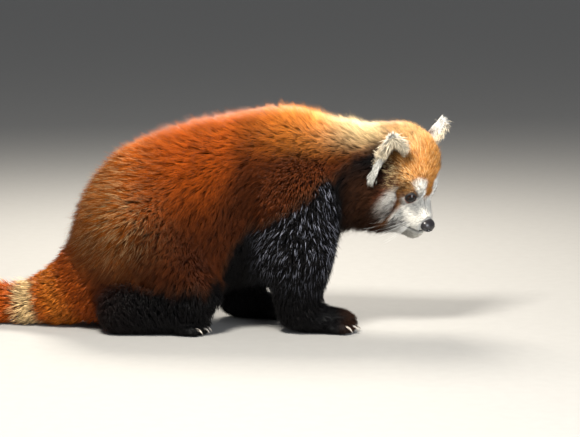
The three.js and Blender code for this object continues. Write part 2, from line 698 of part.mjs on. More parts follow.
function build() {
  const core = skinOf(v3(-560, -150, -26), v3(330, 270, 330), BODY_MESH, 0.5);
  const trunk = Manifold.union([core, ...bodyLocks(), ...tailLocks()]);
  const bare = skinOf(v3(180, -120, 80), v3(350, 110, 310), HEAD_MESH, 0.5);
  const skull = Manifold.union([bare, ...ruffLocks()]);
  const taken = [];
  const cutOut = (name, source, fur) => {
    let piece = source.intersect(zones[name](0));
    for (const zone of taken) piece = piece.subtract(zone);
    taken.push(zones[name](GAP));
    add(name, piece, fur);
    return piece;
  };
  let head = skull.intersect(zones.head(0));
  taken.push(zones.head(GAP));
  for (const ear of ears) {
    add('ear_' + ear.name, Manifold.union([earLeaf(ear, 0), ...earFringe(ear)]), 'white');
    head = head.subtract(earLeaf(ear, GAP));
    taken.push(earLeaf(ear, GAP));
  }
  for (const eye of eyes) {
    head = head.add(lidRing(eye)).subtract(eyeball(eye, GAP));
    add('eye_' + eye.name, eyeball(eye, 0), 'eye');
  }
  head = head.subtract(mouthGroove());
  head = head.subtract(nosePad(GAP));
  add('head', head.intersect(zones.head(0)), 'tan');
  add('nose', nose(), 'nose');
  for (const { name, s } of SIDES) {
    for (const kind of ['forepaw', 'hindfoot']) {
      const region = kind + '_' + name;
      const x = kind === 'forepaw' ? FORELEG[name].wrist[0] : HINDLEG[name].ankle[0];
      const low = v3(x - 64, s > 0 ? 10 : -126, -26);
      const high = v3(x + (kind === 'forepaw' ? 118 : 152), s > 0 ? 126 : -10, 84);
      let foot = skinOf(low, high, FOOT_MESH, 0.5).intersect(zones[region](0));
      for (const zone of taken) foot = foot.subtract(zone);
      toesOf(region).forEach((toe, i) => {
        add('claw_' + region + '_' + (i + 1), claw(toe, 0), 'claw');
        foot = foot.subtract(claw(toe, GAP));
      });
      taken.push(zones[region](GAP));
      add(region, foot, 'black');
    }
    cutOut('foreleg_' + name, trunk, 'black');
    cutOut('thigh_' + name, trunk, 'rust');
  }
  cutOut('neck', trunk, 'rust');
  const tailNames = TAIL_CUTS.map((c, i) => 'tail_' + (i + 1)).reverse();
  for (const name of tailNames) {
    const behind = beyond(v3(-196, 0, 0), v3(-1, 0, 0));
    cutOut(name, trunk.intersect(behind), 'ring');
  }
  let torso = trunk;
  for (const zone of taken) torso = torso.subtract(zone);
  add('torso', torso, 'rust');
}

build();

const panda = new THREE.Group();
for (const [name, { made, fur }] of pieces) {
  const [color, roughness] = FUR[fur];
  const mesh = new THREE.Mesh(geometryOf(made), new THREE.MeshStandardMaterial({ color, roughness }));
  mesh.name = name;
  panda.add(mesh);
}

// The origin lies on the floor, under the middle of the animal's outline
const middle = new THREE.Box3().setFromObject(panda).getCenter(v3(0, 0, 0));
panda.position.set(-middle.x, -middle.y, 0);

export default panda;
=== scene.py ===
import math

import bpy
import numpy as np
from mathutils import Matrix, Vector


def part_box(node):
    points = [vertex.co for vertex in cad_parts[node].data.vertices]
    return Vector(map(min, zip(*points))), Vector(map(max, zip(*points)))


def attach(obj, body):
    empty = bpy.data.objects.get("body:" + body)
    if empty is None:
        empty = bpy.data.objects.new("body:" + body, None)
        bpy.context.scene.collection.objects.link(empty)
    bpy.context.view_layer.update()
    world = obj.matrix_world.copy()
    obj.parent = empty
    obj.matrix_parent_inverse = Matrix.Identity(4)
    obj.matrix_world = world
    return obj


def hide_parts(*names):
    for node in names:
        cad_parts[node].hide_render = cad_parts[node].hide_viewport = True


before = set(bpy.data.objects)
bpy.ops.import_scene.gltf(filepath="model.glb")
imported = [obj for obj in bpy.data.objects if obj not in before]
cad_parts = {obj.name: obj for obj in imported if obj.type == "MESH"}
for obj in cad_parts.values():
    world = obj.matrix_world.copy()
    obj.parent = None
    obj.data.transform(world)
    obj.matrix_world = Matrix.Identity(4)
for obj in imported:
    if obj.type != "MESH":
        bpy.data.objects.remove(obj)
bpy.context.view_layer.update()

# The camera stands level with the ribs on the animal's right, a little above the floor.
# The middle claw of the right forefoot says where the sizes' own zero lies in the frame.
MM = 0.001
CLAW_BASE = Vector((194.2, -53, 0))
claw_low, claw_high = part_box("claw_forepaw_right_3")
START = Vector((claw_low.x, (claw_low.y + claw_high.y) / 2, 0)) - CLAW_BASE * MM
PICTURE_WIDTH = 580
PIXEL = 1.27  # what one pixel of the picture spans at the animal
CAMERA_AWAY = 3100
CAMERA_RISE = math.radians(8)
CAMERA_AIM = Vector((114.3, 0, 136.6))

back = Vector((0, -math.cos(CAMERA_RISE), math.sin(CAMERA_RISE)))
bpy.ops.object.camera_add(
    location=START + (CAMERA_AIM + back * CAMERA_AWAY) * MM,
    rotation=(math.pi / 2 - CAMERA_RISE, 0, 0),
)
camera = bpy.context.object
camera.data.sensor_width = 36
camera.data.lens = CAMERA_AWAY * camera.data.sensor_width / (PICTURE_WIDTH * PIXEL)
bpy.context.scene.camera = camera


# The stage: a wide pale floor, one broad warm lamp high on the camera's side as a key,
# one behind for the edge of the coat, one soft fill, and a pale sky.
class Tone:
    """A socket of a finish, so that the maths of a finish reads as plain sums."""

    def __init__(self, tree, socket=None):
        self.tree, self.socket = tree, socket

    def node(self, kind, settings=None, inputs=None, output=0):
        """Adds a node with its settings, then the values or tones of its sockets."""
        made = self.tree.nodes.new("ShaderNode" + kind)
        for name, value in (settings or {}).items():
            setattr(made, name, value)
        for name, value in (inputs or {}).items():
            if isinstance(value, Tone):
                self.tree.links.new(value.socket, made.inputs[name])
            else:
                made.inputs[name].default_value = value
        return Tone(self.tree, made.outputs[output])

    def sum(self, operation, *values):
        return self.node("Math", {"operation": operation}, dict(enumerate(values)))

    def __add__(self, other):
        return self.sum("ADD", self, other)

    def __mul__(self, other):
        return self.sum("MULTIPLY", self, other)

    def __sub__(self, other):
        return self.sum("SUBTRACT", self, other)

    def __pow__(self, other):
        return self.sum("POWER", self, other)

    def between(self, low, high):
        """0 below low, 1 above high and a soft rise between them."""
        ends = {"Value": self, "From Min": low, "From Max": high}
        return self.node("MapRange", {"interpolation_type": "SMOOTHSTEP"}, ends)

    def mix(self, first, second, blend="MIX"):
        """A colour from first to second by this tone."""
        kinds = {"data_type": "RGBA", "blend_type": blend}
        return self.node("Mix", kinds, {0: self, 6: first, 7: second}, 2)

    def noise(self, where, scale, detail=3.0, output=0):
        return self.node("TexNoise", None, {"Vector": where, "Scale": scale, "Detail": detail}, output)


def finish(name, **constants):
    """A new material: the material, a blank tone to make nodes with, and its shader."""
    material = bpy.data.materials.new(name)
    material.use_nodes = True
    tree = material.node_tree
    shader = tree.nodes["Principled BSDF"]
    for socket, value in constants.items():
        shader.inputs[socket.replace("_", " ")].default_value = value
    return material, Tone(tree), shader


def wire(tone, shader, socket):
    tone.tree.links.new(tone.socket, shader.inputs[socket])


def rgb(red, green, blue):
    return (red, green, blue, 1)


floor_finish, blank, shader = finish("pale_floor", Roughness=0.85)
speckle = blank.noise(blank.node("TexCoord", output=3), 60)
wire(speckle.mix(rgb(0.33, 0.325, 0.315), rgb(0.36, 0.355, 0.345)), shader, "Base Color")
bpy.ops.object.select_all(action="DESELECT")
bpy.ops.mesh.primitive_plane_add(size=30, location=(0, 0, 0))
floor = bpy.context.object
floor.name = "floor"
floor.data.materials.append(floor_finish)

LAMPS = {
    "key": {"at": (-230, -900, 1450), "size": 0.4, "power": 50, "colour": (1, 0.95, 0.86)},
    "edge": {"at": (-100, 900, 1300), "size": 0.6, "power": 36, "colour": (1, 0.93, 0.82)},
    "fill": {"at": (950, -1400, 420), "size": 1.0, "power": 24, "colour": (0.92, 0.95, 1)},
}
LAMP_AIM = (60, 0, 130)
for name, lamp in LAMPS.items():
    place = START + Vector(lamp["at"]) * MM
    aim = START + Vector(LAMP_AIM) * MM
    bpy.ops.object.light_add(type="AREA", location=place)
    light = bpy.context.object
    light.name = "lamp_" + name
    light.rotation_mode = "QUATERNION"
    light.rotation_quaternion = (aim - place).to_track_quat("-Z", "Y")
    light.data.energy = lamp["power"]
    light.data.size = lamp["size"]
    light.data.color = lamp["colour"]
    light.visible_camera = False
sky = bpy.data.worlds.new("sky")
sky.use_nodes = True
sky.node_tree.nodes["Background"].inputs["Color"].default_value = rgb(0.80, 0.82, 0.85)
sky.node_tree.nodes["Background"].inputs["Strength"].default_value = 0.25
bpy.context.scene.world = sky
bpy.context.scene.view_settings.view_transform = "Standard"

# The skin of the whole animal, one closed surface under the fur, made from the rounds of its body.
# Lobes are ellipsoids and limbs are tapered rounds that melt into one another. Each reaches out to the
# tips of the coat, and the skin lies the coat's depth below.
HEAD_CENTRE = np.array((256.0, -12.0, 199.0))
head_turn = (
    Matrix.Rotation(math.radians(-33), 3, "Z")
    @ Matrix.Rotation(math.radians(37.5), 3, "Y")
    @ Matrix.Rotation(math.radians(8.5), 3, "X")
)
HEAD_AXES = np.array(head_turn)
SIDES = {"right": -1, "left": 1}
masses = []


def on_head(x, y, z):
    return HEAD_CENTRE + HEAD_AXES @ np.array((x, y, z), float)


def head_way(x, y, z):
    way = HEAD_AXES @ np.array((x, y, z), float)
    return way / np.linalg.norm(way)


def in_head(places):
    """Places in the head's own axes: ahead along the face, to its left, up to the crown."""
    return (places - HEAD_CENTRE) @ HEAD_AXES


def lobe(region, centre, radii, coat, turn=None):
    masses.append((region, np.array(centre, float), np.array(radii, float), coat, turn))


def limb(region, start, start_radius, end, end_radius, coat):
    ends = (np.array(start, float), start_radius, np.array(end, float), end_radius)
    masses.append((region, ends, None, coat, None))


lobe("torso", (-92, 0, 94), (78, 80, 96), 17)
lobe("torso", (-38, 0, 146), (109, 80, 103), 18)
lobe("torso", (34, 0, 164), (110, 77, 108), 18)
lobe("torso", (102, 0, 186), (82, 72, 98), 17)
lobe("torso", (20, 0, 104), (104, 66, 56), 14)
lobe("torso", (138, -3, 160), (50, 58, 66), 14)
limb("neck", (140, -2, 210), 64, (214, -9, 204), 60, 16)
lobe("neck", (200, -8, 165), (48, 46, 43), 13)
lobe("neck", (238, -10, 148), (34, 40, 30), 11)
lobe("head", on_head(-9, 0, 9), (54, 51, 51), 9, HEAD_AXES)
lobe("head", on_head(10, 0, 7), (32, 30, 30), 6, HEAD_AXES)
for s in SIDES.values():
    lobe("head", on_head(7, s * 34, -23), (32, 29, 33), 11, HEAD_AXES)
    lobe("head", on_head(47, s * 9, -39), (16, 13, 12), 2.6, HEAD_AXES)
    lobe("head", on_head(25, s * 15, 6), (11, 9, 9), 3.4, HEAD_AXES)
    lobe("head", on_head(33, s * 13, 3), (13, 8, 9), 3.4, HEAD_AXES)
limb("head", on_head(20, 0, -18), 28, on_head(53.5, 0, -32), 16.5, 3)
limb("head", on_head(12, 0, -41), 27, on_head(53, 0, -52), 13.5, 3)

FORELEG = {
    "right": {"shoulder": (122, 46, 172), "elbow": (123, 53, 100), "wrist": (124, 53, 36), "paw": 152},
    "left": {"shoulder": (104, 44, 166), "elbow": (70, 50, 98), "wrist": (50, 50, 34), "paw": 70},
}
FORELEG_RADII = {"right": (52, 45, 30), "left": (48, 39, 28)}
HINDLEG = {
    "right": {"hip": (-78, 40, 128), "knee": (-12, 60, 66), "ankle": (-96, 60, 36), "toe": -6},
    "left": {"hip": (-80, 40, 128), "knee": (-28, 60, 64), "ankle": (-112, 60, 36), "toe": -26},
}
HINDLEG_RADII = {"right": (62, 44, 34), "left": (62, 42, 34)}
PAW = {"length": 48, "width": 26, "height": 19, "toe_gap": 10.5, "toe_radius": 8.2}
FOOT = {"width": 25, "height": 17, "toe_gap": 9.6, "toe_radius": 7.8}
FOOT_MIDDLE = 66  # how far out a hind foot lies
TOES = 5


def toes_of(kind, side):
    """The root, tip, way and radius of each toe, fanned round the front of a foot."""
    s = SIDES[side]
    fore = kind == "forepaw"
    size = PAW if fore else FOOT
    front = FORELEG[side]["paw"] + PAW["length"] - 15 if fore else HINDLEG[side]["toe"] + 5
    middle = FORELEG[side]["wrist"][1] if fore else FOOT_MIDDLE
    radius = size["toe_radius"]
    for i in range(TOES):
        across = i - (TOES - 1) / 2
        set_back = 2.6 * across * across
        root = Vector((front - set_back - 8, s * middle + across * size["toe_gap"] * 0.85, radius + 1))
        tip = Vector((front - set_back + 6, s * middle + across * size["toe_gap"], radius - 0.6))
        way = ((tip - root) * Vector((1, 1, 0))).normalized()
        yield root, tip, way, radius


for side, s in SIDES.items():
    outward = np.array((1, s, 1))
    shoulder, elbow, wrist = (np.array(FORELEG[side][k]) * outward for k in ("shoulder", "elbow", "wrist"))
    r_shoulder, r_elbow, r_wrist = FORELEG_RADII[side]
    limb("foreleg_" + side, shoulder, r_shoulder, elbow, r_elbow, 13)
    limb("foreleg_" + side, elbow, r_elbow, wrist, r_wrist, 8)
    paw_centre = (FORELEG[side]["paw"], wrist[1], 16)
    lobe("forepaw_" + side, paw_centre, (PAW["length"], PAW["width"], PAW["height"]), 4)
    hip, knee, ankle = (np.array(HINDLEG[side][k]) * outward for k in ("hip", "knee", "ankle"))
    r_hip, r_knee, r_ankle = HINDLEG_RADII[side]
    limb("thigh_" + side, hip, r_hip, knee, r_knee, 15)
    limb("hindfoot_" + side, knee + (4, s * 2, -16), r_knee - 6, ankle, r_ankle, 11)
    toe_end = (HINDLEG[side]["toe"], s * FOOT_MIDDLE, 15)
    limb("hindfoot_" + side, ankle + (-2, s * 2, -14), 26, toe_end, FOOT["height"] + 1, 6)
    for kind in ("forepaw", "hindfoot"):
        for root, tip, way, radius in toes_of(kind, side):
            limb(kind + "_" + side, root, radius, tip, radius, 2.4)

# The tail's middle line and its radius out to the tips
TAIL = np.array((
    (-128, 0, 62, 58), (-178, 3, 38, 37), (-220, 8, 27, 28), (-262, 16, 26, 27), (-318, 38, 32, 33),
    (-376, 72, 36, 37), (-428, 116, 36, 37), (-468, 162, 32, 33), (-490, 205, 26, 27),
), float)
for before, after in zip(TAIL, TAIL[1:]):
    limb("tail", before[:3], before[3], after[:3], after[3], 13 if after[0] > -230 else 17)

SOLE = 1.2  # how far the skin of a sole lies off the floor
SKIN_STEP = 0.0042  # how fine the skin's mesh starts, in metres
UNWRAP_ANGLE = math.radians(66)
MELT_WITHIN = {"torso": 34, "neck": 26, "head": 12, "forepaw": 3, "hindfoot": 6}
MELT_BETWEEN = {"head": 16, "tail": 16, "forepaw": 12, "hindfoot": 12}
LIMB_MELT = 16
JOIN_MELT = 26


def mass_distance(mass, places, share):
    """Distance to one mass, negative inside, with its coat taken in by the given share."""
    region, form, radii, coat, turn = mass
    inset = coat * share
    if radii is not None:
        local = places - form
        if turn is not None:
            local = local @ turn
        size = radii - inset
        near = np.linalg.norm(local / size, axis=1)
        steep = np.linalg.norm(local / size**2, axis=1)
        return near * (near - 1) / np.maximum(steep, 1e-9)
    start, start_radius, end, end_radius = form
    line = end - start
    long2 = line @ line
    slope = start_radius - end_radius
    lean = long2 - slope * slope
    local = places - start
    y = local @ line
    z = y - long2
    x2 = ((local * long2 - y[:, None] * line) ** 2).sum(axis=1)
    y2, z2 = y * y * long2, z * z * long2
    edge = np.sign(slope) * slope * slope * x2
    side = (np.sqrt(x2 * lean / long2) + y * slope) / long2 - start_radius
    side = np.where(np.sign(y) * lean * y2 < edge, np.sqrt(x2 + y2) / long2 - start_radius, side)
    side = np.where(np.sign(z) * lean * z2 > edge, np.sqrt(x2 + z2) / long2 - end_radius, side)
    return side + inset


def melt(a, b, width):
    h = np.maximum(width - np.abs(a - b), 0) / width
    return np.minimum(a, b) - h * h * width / 4


def region_distances(places, share):
    """The distance to each region of the body, its masses melted together."""
    found = {}
    for mass in masses:
        near = mass_distance(mass, places, share)
        width = MELT_WITHIN.get(mass[0].split("_")[0], LIMB_MELT)
        found[mass[0]] = melt(found[mass[0]], near, width) if mass[0] in found else near
    return found


def height(places, share=1.0):
    """How far places stand off the skin, or off the tips of the coat where share is 0."""
    whole = None
    for region, near in region_distances(places, share).items():
        width = MELT_BETWEEN.get(region.split("_")[0], JOIN_MELT)
        whole = near if whole is None else melt(whole, near, width)
    return whole


def slope_of(places):
    """The way straight out of the skin."""
    step = 0.4
    out = np.zeros_like(places)
    for axis in range(3):
        move = np.zeros(3)
        move[axis] = step
        out[:, axis] = height(places + move) - height(places - move)
    return out / np.linalg.norm(out, axis=1, keepdims=True)


def settle(places, steps=3):
    """Moves places onto the skin, but none below the soles."""
    for _ in range(steps):
        places = places - slope_of(places) * height(places)[:, None]
    places[:, 2] = np.maximum(places[:, 2], SOLE)
    return places


def placed(point):
    return START + Vector(point) * MM


def add_round(centre, radii, turn=None):
    bpy.ops.mesh.primitive_uv_sphere_add(segments=24, ring_count=14, location=placed(centre))
    ball = bpy.context.object
    ball.scale = Vector(radii) * MM
    if turn is not None:
        ball.rotation_euler = Matrix(turn).to_euler()
    return ball


def add_taper(start, start_radius, end, end_radius):
    line = Vector(end) - Vector(start)
    bpy.ops.mesh.primitive_cone_add(
        vertices=24, radius1=start_radius * MM, radius2=end_radius * MM, depth=line.length * MM,
        location=placed((Vector(start) + Vector(end)) / 2),
        rotation=line.to_track_quat("Z", "Y").to_euler(),
    )
    return bpy.context.object


def read_rows(rows, name, width=3):
    """One value of a mesh's vertices, faces or corners as rows of numbers."""
    flat = np.empty(len(rows) * width)
    rows.foreach_get(name, flat)
    return flat.reshape(-1, width)


def from_start(places):
    """Places of the frame in millimetres from the sizes' own zero."""
    return (places - np.array(START)) / MM


def read_places(piece):
    return from_start(read_rows(piece.data.vertices, "co"))


def write_places(piece, places):
    piece.data.vertices.foreach_set("co", (places * MM + np.array(START)).ravel())
    piece.data.update()


def pick(*pieces):
    """Selects these pieces and no others, the first one active."""
    bpy.ops.object.select_all(action="DESELECT")
    for piece in pieces:
        piece.select_set(True)
    bpy.context.view_layer.objects.active = pieces[0]


def apply(piece, kind, **settings):
    """Adds a modifier with its settings and applies it."""
    pick(piece)
    modifier = piece.modifiers.new(kind.lower(), kind)
    for name, value in settings.items():
        setattr(modifier, name, value)
    bpy.ops.object.modifier_apply(modifier=modifier.name)


def refine(piece, chosen, cuts=1):
    """Subdivides the faces whose middles are chosen by a function of their places."""
    mesh = piece.data
    picked = chosen(from_start(read_rows(mesh.polygons, "center")))
    pick(piece)
    bpy.ops.object.mode_set(mode="EDIT")
    bpy.ops.mesh.select_mode(type="FACE")
    bpy.ops.mesh.select_all(action="DESELECT")
    bpy.ops.object.mode_set(mode="OBJECT")
    mesh.polygons.foreach_set("select", picked)
    bpy.ops.object.mode_set(mode="EDIT")
    bpy.ops.mesh.subdivide(number_cuts=cuts)
    bpy.ops.object.mode_set(mode="OBJECT")


rounds = []
for region, form, radii, coat, turn in masses:
    if radii is not None:
        rounds.append(add_round(form, radii - coat, turn))
        continue
    start, start_radius, end, end_radius = form
    for centre, radius in ((start, start_radius - coat), (end, end_radius - coat)):
        rounds.append(add_round(centre, (radius,) * 3))
    rounds.append(add_taper(start, start_radius - coat, end, end_radius - coat))
pick(*rounds)
skin = rounds[0]
bpy.ops.object.join()
bpy.ops.object.transform_apply(location=True, rotation=True, scale=True)
skin.name = "skin"
apply(skin, "REMESH", mode="VOXEL", voxel_size=SKIN_STEP)
write_places(skin, settle(read_places(skin)))
apply(skin, "SMOOTH", factor=0.5, iterations=6)
write_places(skin, settle(read_places(skin), 2))

bpy.ops.object.mode_set(mode="EDIT")
bpy.ops.mesh.select_all(action="SELECT")
bpy.ops.uv.smart_project(angle_limit=UNWRAP_ANGLE, island_margin=0.004)
bpy.ops.object.mode_set(mode="OBJECT")
skin.data.uv_layers[0].name = "OFBake"

# The face: lids round each eye, the line of the mouth between soft lips, and a finer skin to hold them.
# The eyes look out sideways and ahead, and their balls stand a little out of the lids.
EYE = {"radius": 8.2, "bulge": 1.7, "long": 6.1, "tall": 5.5, "lid": 0.9}
LID_END = 2.7  # how many openings out the lids run into the face
MOUTH_REACH = math.radians(84)
FAR = 99.0  # stands for any distance too great to matter


def leave(start, way, share):
    """Where a ray from inside the body leaves the skin, or the coat where share is 0."""
    near, far = 0.0, 90.0
    for _ in range(22):
        middle = (near + far) / 2
        if height((start + way * middle)[None], share)[0] < 0:
            near = middle
        else:
            far = middle
    return start + way * near


eyes = {}
for side, s in SIDES.items():
    way = head_way(0.74, s * 0.66, 0.1)
    front = leave(on_head(40, s * 26, -3) - way * 20, way, 0)
    level = np.cross(way, head_way(-0.25, 0, 1))
    level /= np.linalg.norm(level)
    centre = front + way * (EYE["bulge"] - EYE["radius"])
    eyes[side] = {"way": way, "centre": centre, "level": level, "up": np.cross(level, way)}


def eye_ring(eye, places):
    """How many openings out from an eye places lie, 1 on the edge of its lids, and where in its own axes."""
    local = places - eye["centre"]
    u, v, along = local @ eye["level"], local @ eye["up"], local @ eye["way"]
    pointed = 1.06 - 0.2 * np.minimum((u / EYE["long"]) ** 2, 1.4)
    ring = np.hypot(u / EYE["long"], v / (EYE["tall"] * pointed))
    return np.where(along < -12, FAR, ring), along, u, v


mouth = []
for angle in np.linspace(-MOUTH_REACH, MOUTH_REACH, 61):
    lift = 4.2 * abs(math.sin(angle))
    way = head_way(math.cos(angle), math.sin(angle), 0.02)
    mouth.append(leave(on_head(40, 0, -44.5 + lift), way, 1))
mouth = np.array(mouth)


def mouth_gap(places):
    """Distance to the line of the mouth."""
    gap = np.full(len(places), FAR)
    near = np.linalg.norm(places - on_head(40, 0, -44), axis=1) < 60
    spread = places[near][:, None] - mouth[None]
    gap[near] = np.sqrt((spread**2).sum(axis=2).min(axis=1))
    return gap


def rise(value, low, high):
    """0 below low, 1 above high and a soft rise between them."""
    t = np.clip((value - low) / (high - low), 0, 1)
    return t * t * (3 - 2 * t)


def near_eyes(places, reach):
    return np.min([eye_ring(eye, places)[0] for eye in eyes.values()], axis=0) < reach


refine(skin, lambda p: (in_head(p)[:, 0] > -10) & (height(p) < 6) & (p[:, 0] > 215))
write_places(skin, settle(read_places(skin), 2))
refine(skin, lambda p: near_eyes(p, 3.2) | (mouth_gap(p) < 7))
refine(skin, lambda p: near_eyes(p, 2.2) | (mouth_gap(p) < 4))
places = settle(read_places(skin), 2)
for eye in eyes.values():
    ring, along, u, v = eye_ring(eye, places)
    ball = np.sqrt(np.maximum(EYE["radius"] ** 2 - u * u - v * v, 4))
    near = ring < LID_END
    coat_top = along.copy()
    lean = np.maximum(slope_of(places[near]) @ eye["way"], 0.5)
    coat_top[near] -= height(places[near], 0) / lean
    lid = np.maximum(ball + EYE["lid"] * (1 - 0.25 * np.abs(ring - 1.3)), coat_top - 1.3)
    inside = rise(ring, 0.86, 1.04)
    target = (ball - 1.8) * (1 - inside) + lid * inside
    shift = np.where(near, (target - along) * (1 - rise(ring, 1.35, LID_END)), 0)
    crease = -0.7 * np.exp(-(((ring - 1.85) / 0.16) ** 2)) * near
    places = places + eye["way"] * (shift + crease)[:, None]
gap = mouth_gap(places)
lips = -2.0 * np.exp(-((gap / 1.1) ** 2)) + 0.8 * np.exp(-(((gap - 2.6) / 1.3) ** 2))
near = gap < 9
places[near] += slope_of(places[near]) * lips[near][:, None]
write_places(skin, places)
pick(skin)
bpy.ops.object.shade_smooth()

# The markings of the coat, which the skin and every tuft share: rusty red above, golden over the withers
# and crown, black below and on the legs, a white face with a rusty stripe under each eye, a ringed tail.
# Painted highlights lie on the withers, nape, top of the back and rump, and painted shade down the flanks.
RUST = np.array((0.40, 0.076, 0.006))
DEEP = np.array((0.095, 0.022, 0.005))
GOLD = np.array((0.80, 0.27, 0.030))
TAN = np.array((0.60, 0.26, 0.055))
BROWN = np.array((0.075, 0.028, 0.012))
BLACK = np.array((0.0045, 0.004, 0.0043))
# The bluish white of a painted glint of light on black hair
PAINTED_GLINT = np.array((0.27, 0.28, 0.34))
WHITE = np.array((0.86, 0.84, 0.78))
GREY = np.array((0.42, 0.42, 0.36))
CREAM = np.array((0.88, 0.68, 0.36))
STRIPE = np.array((0.085, 0.018, 0.006))
BLACK_LINE = (  # how high the black reaches up the animal's side, along its length
    (-215, -40), (-180, -6), (-150, 30), (-116, 68), (-57, 56), (6, 50), (18, 64), (32, 88),
    (55, 128), (99, 146), (122, 160), (152, 186), (184, 206), (209, 224), (232, 236), (260, 240),
)
TAIL_RING = 62  # one rusty and one buff ring together
# Lines of the face, out from its middle and up: the stripe under an eye, the white of the cheek,
# and the white that joins the muzzle and brow.
TEAR = ((35.5, -3), (37.5, -11), (41.5, -19), (46.5, -27))
CHEEK = ((46, 2), (50, -6), (55, -19), (57, -31), (57, -41))
BRIDGE = ((13, -10), (14, 2), (17, 13))


def line_gap(u, v, line):
    """Distance in a plane to a line of straight stretches."""
    gap = np.full(len(u), 1e9)
    for (u0, v0), (u1, v1) in zip(line, line[1:]):
        du, dv = u1 - u0, v1 - v0
        t = np.clip(((u - u0) * du + (v - v0) * dv) / (du * du + dv * dv), 0, 1)
        gap = np.minimum(gap, np.hypot(u - u0 - t * du, v - v0 - t * dv))
    return gap


def blend(first, second, share):
    share = np.asarray(share)[:, None]
    return first * (1 - share) + second * share


def waves(places, size, seed):
    """Soft random waves over the body, from -1 to 1, with waves of the given length."""
    dice = np.random.default_rng(seed)
    total = np.zeros(len(places))
    for _ in range(5):
        way = dice.normal(size=3)
        way *= 2 * np.pi / (size * np.linalg.norm(way))
        total += np.sin(places @ way + dice.uniform(0, 6.28))
    return total / 3.2


def along_tail(places):
    """How far along the tail's middle line places lie, and the way it runs there."""
    best = np.full(len(places), 1e9)
    far = np.zeros(len(places))
    ways = np.zeros_like(places)
    done = 0.0
    for before, after in zip(TAIL[:, :3], TAIL[1:, :3]):
        line = after - before
        length = np.linalg.norm(line)
        t = np.clip((places - before) @ line / length**2, 0, 1)
        gap = np.linalg.norm(places - before - t[:, None] * line, axis=1)
        closer = gap < best
        best = np.where(closer, gap, best)
        far = np.where(closer, done + t * length, far)
        ways[closer] = line / length
        done += length
    return far, ways


def region_shares(places, width=9.0):
    """How much each region has of a place, all of them adding up to 1."""
    near = region_distances(places, 0)
    least = np.min(list(near.values()), axis=0)
    shares = {region: np.exp(-(gap - least) / width) for region, gap in near.items()}
    total = sum(shares.values())
    kinds = {}
    for region, share in shares.items():
        kind = region.split("_")[0]
        kinds[kind] = kinds.get(kind, 0) + share / total
    return kinds


def temple_share(h):
    """How much of the temple is in a place in the head's axes: dark and pale hairs between ear and eye."""
    away = np.hypot((np.abs(h[:, 1]) - 43) / 26, (h[:, 2] - 14) / 22)
    return (1 - rise(away, 0.6, 1.15)) * rise(h[:, 0], -18, 2)


def face_colour(places):
    h = in_head(places)
    x, y, z = h[:, 0], np.abs(h[:, 1]), h[:, 2]
    ragged = 1.4 * waves(places, 9, 3)
    colour = blend(RUST, TAN * 0.72, np.maximum(rise(x + 0.5 * z, -20, 22), rise(z, 16, 34)))
    colour = blend(colour, (TAN + CREAM) * 0.36, 0.7 * rise(z, 30, 46) * rise(4 - x, -10, 22))
    colour = blend(colour, TAN, 0.7 * temple_share(h))
    # Behind the ears and cheeks the head is as dark as the throat
    colour = blend(colour, BROWN * 0.7, rise(12 - x + 2 * ragged, 0, 14) * rise(32 - z + ragged, 0, 12))
    colour = blend(colour, BROWN * 1.5, rise(23 - x + 2 * ragged, 0, 12) * rise(14 - z, 0, 14))
    under = rise(-z - 0.25 * x, 44, 54)
    colour = blend(colour, BROWN, under * rise(46 - x, 0, 14))
    # The white of the muzzle, brows and cheeks
    ahead_of_tear = rise(np.interp(z, (-46, -38, -30, -19, -12), (42, 46, 48, 43, 36)) - y, -2, 3)
    muzzle = ahead_of_tear * rise(-3 - z + ragged, -2, 4) * rise(x, 26, 34)
    colour = blend(colour, WHITE, muzzle)
    brow = 1 - rise(np.hypot((y - 17.5) / 10, (z - 15) / 8) + 0.06 * ragged, 0.7, 1.15)
    link = 1 - rise(line_gap(y, z, BRIDGE) + ragged, 5, 8)
    colour = blend(colour, WHITE, np.maximum(brow, link) * rise(x, 24, 32))
    cheek = 1 - rise(line_gap(y, z, CHEEK) + ragged, 8, 11)
    rim = (1 - rise(line_gap(y, z, CHEEK) + ragged, 12, 18)) * rise(x, 0, 12) * (1 - muzzle)
    colour = blend(colour, blend(BROWN, STRIPE * 2, rise(z, -34, -22)), 0.75 * rim)
    colour = blend(colour, WHITE, cheek * rise(x, 10, 18))
    tear = 1 - rise(line_gap(y, z, TEAR) + 0.6 * ragged, 2.3, 4.1)
    colour = blend(colour, STRIPE, tear * rise(x, 24, 32))
    corner = 1 - rise(np.hypot((y - 42) / 1.3, z + 41) + ragged, 3.5, 7.5)
    colour = blend(colour, BLACK * 2, 0.9 * corner * rise(x, 30, 40))
    # Round each eye an orange rim below it, dark brown above it and black lids
    for eye in eyes.values():
        ring, _, _, v = eye_ring(eye, places)
        under_eye = (1 - rise(ring, 1.45, 1.75)) * rise(-v, 1, 4)
        colour = blend(colour, RUST * 1.3, 0.85 * under_eye)
        over_eye = (1 - rise(ring, 1.5, 2.3)) * rise(v, -1, 3)
        colour = blend(colour, BROWN, 0.75 * over_eye)
        colour = blend(colour, BLACK * 0.7, 1 - rise(ring, 1.24, 1.4))
    colour = blend(colour, BLACK * 1.5, 1 - rise(mouth_gap(places), 1.0, 1.9))
    return colour


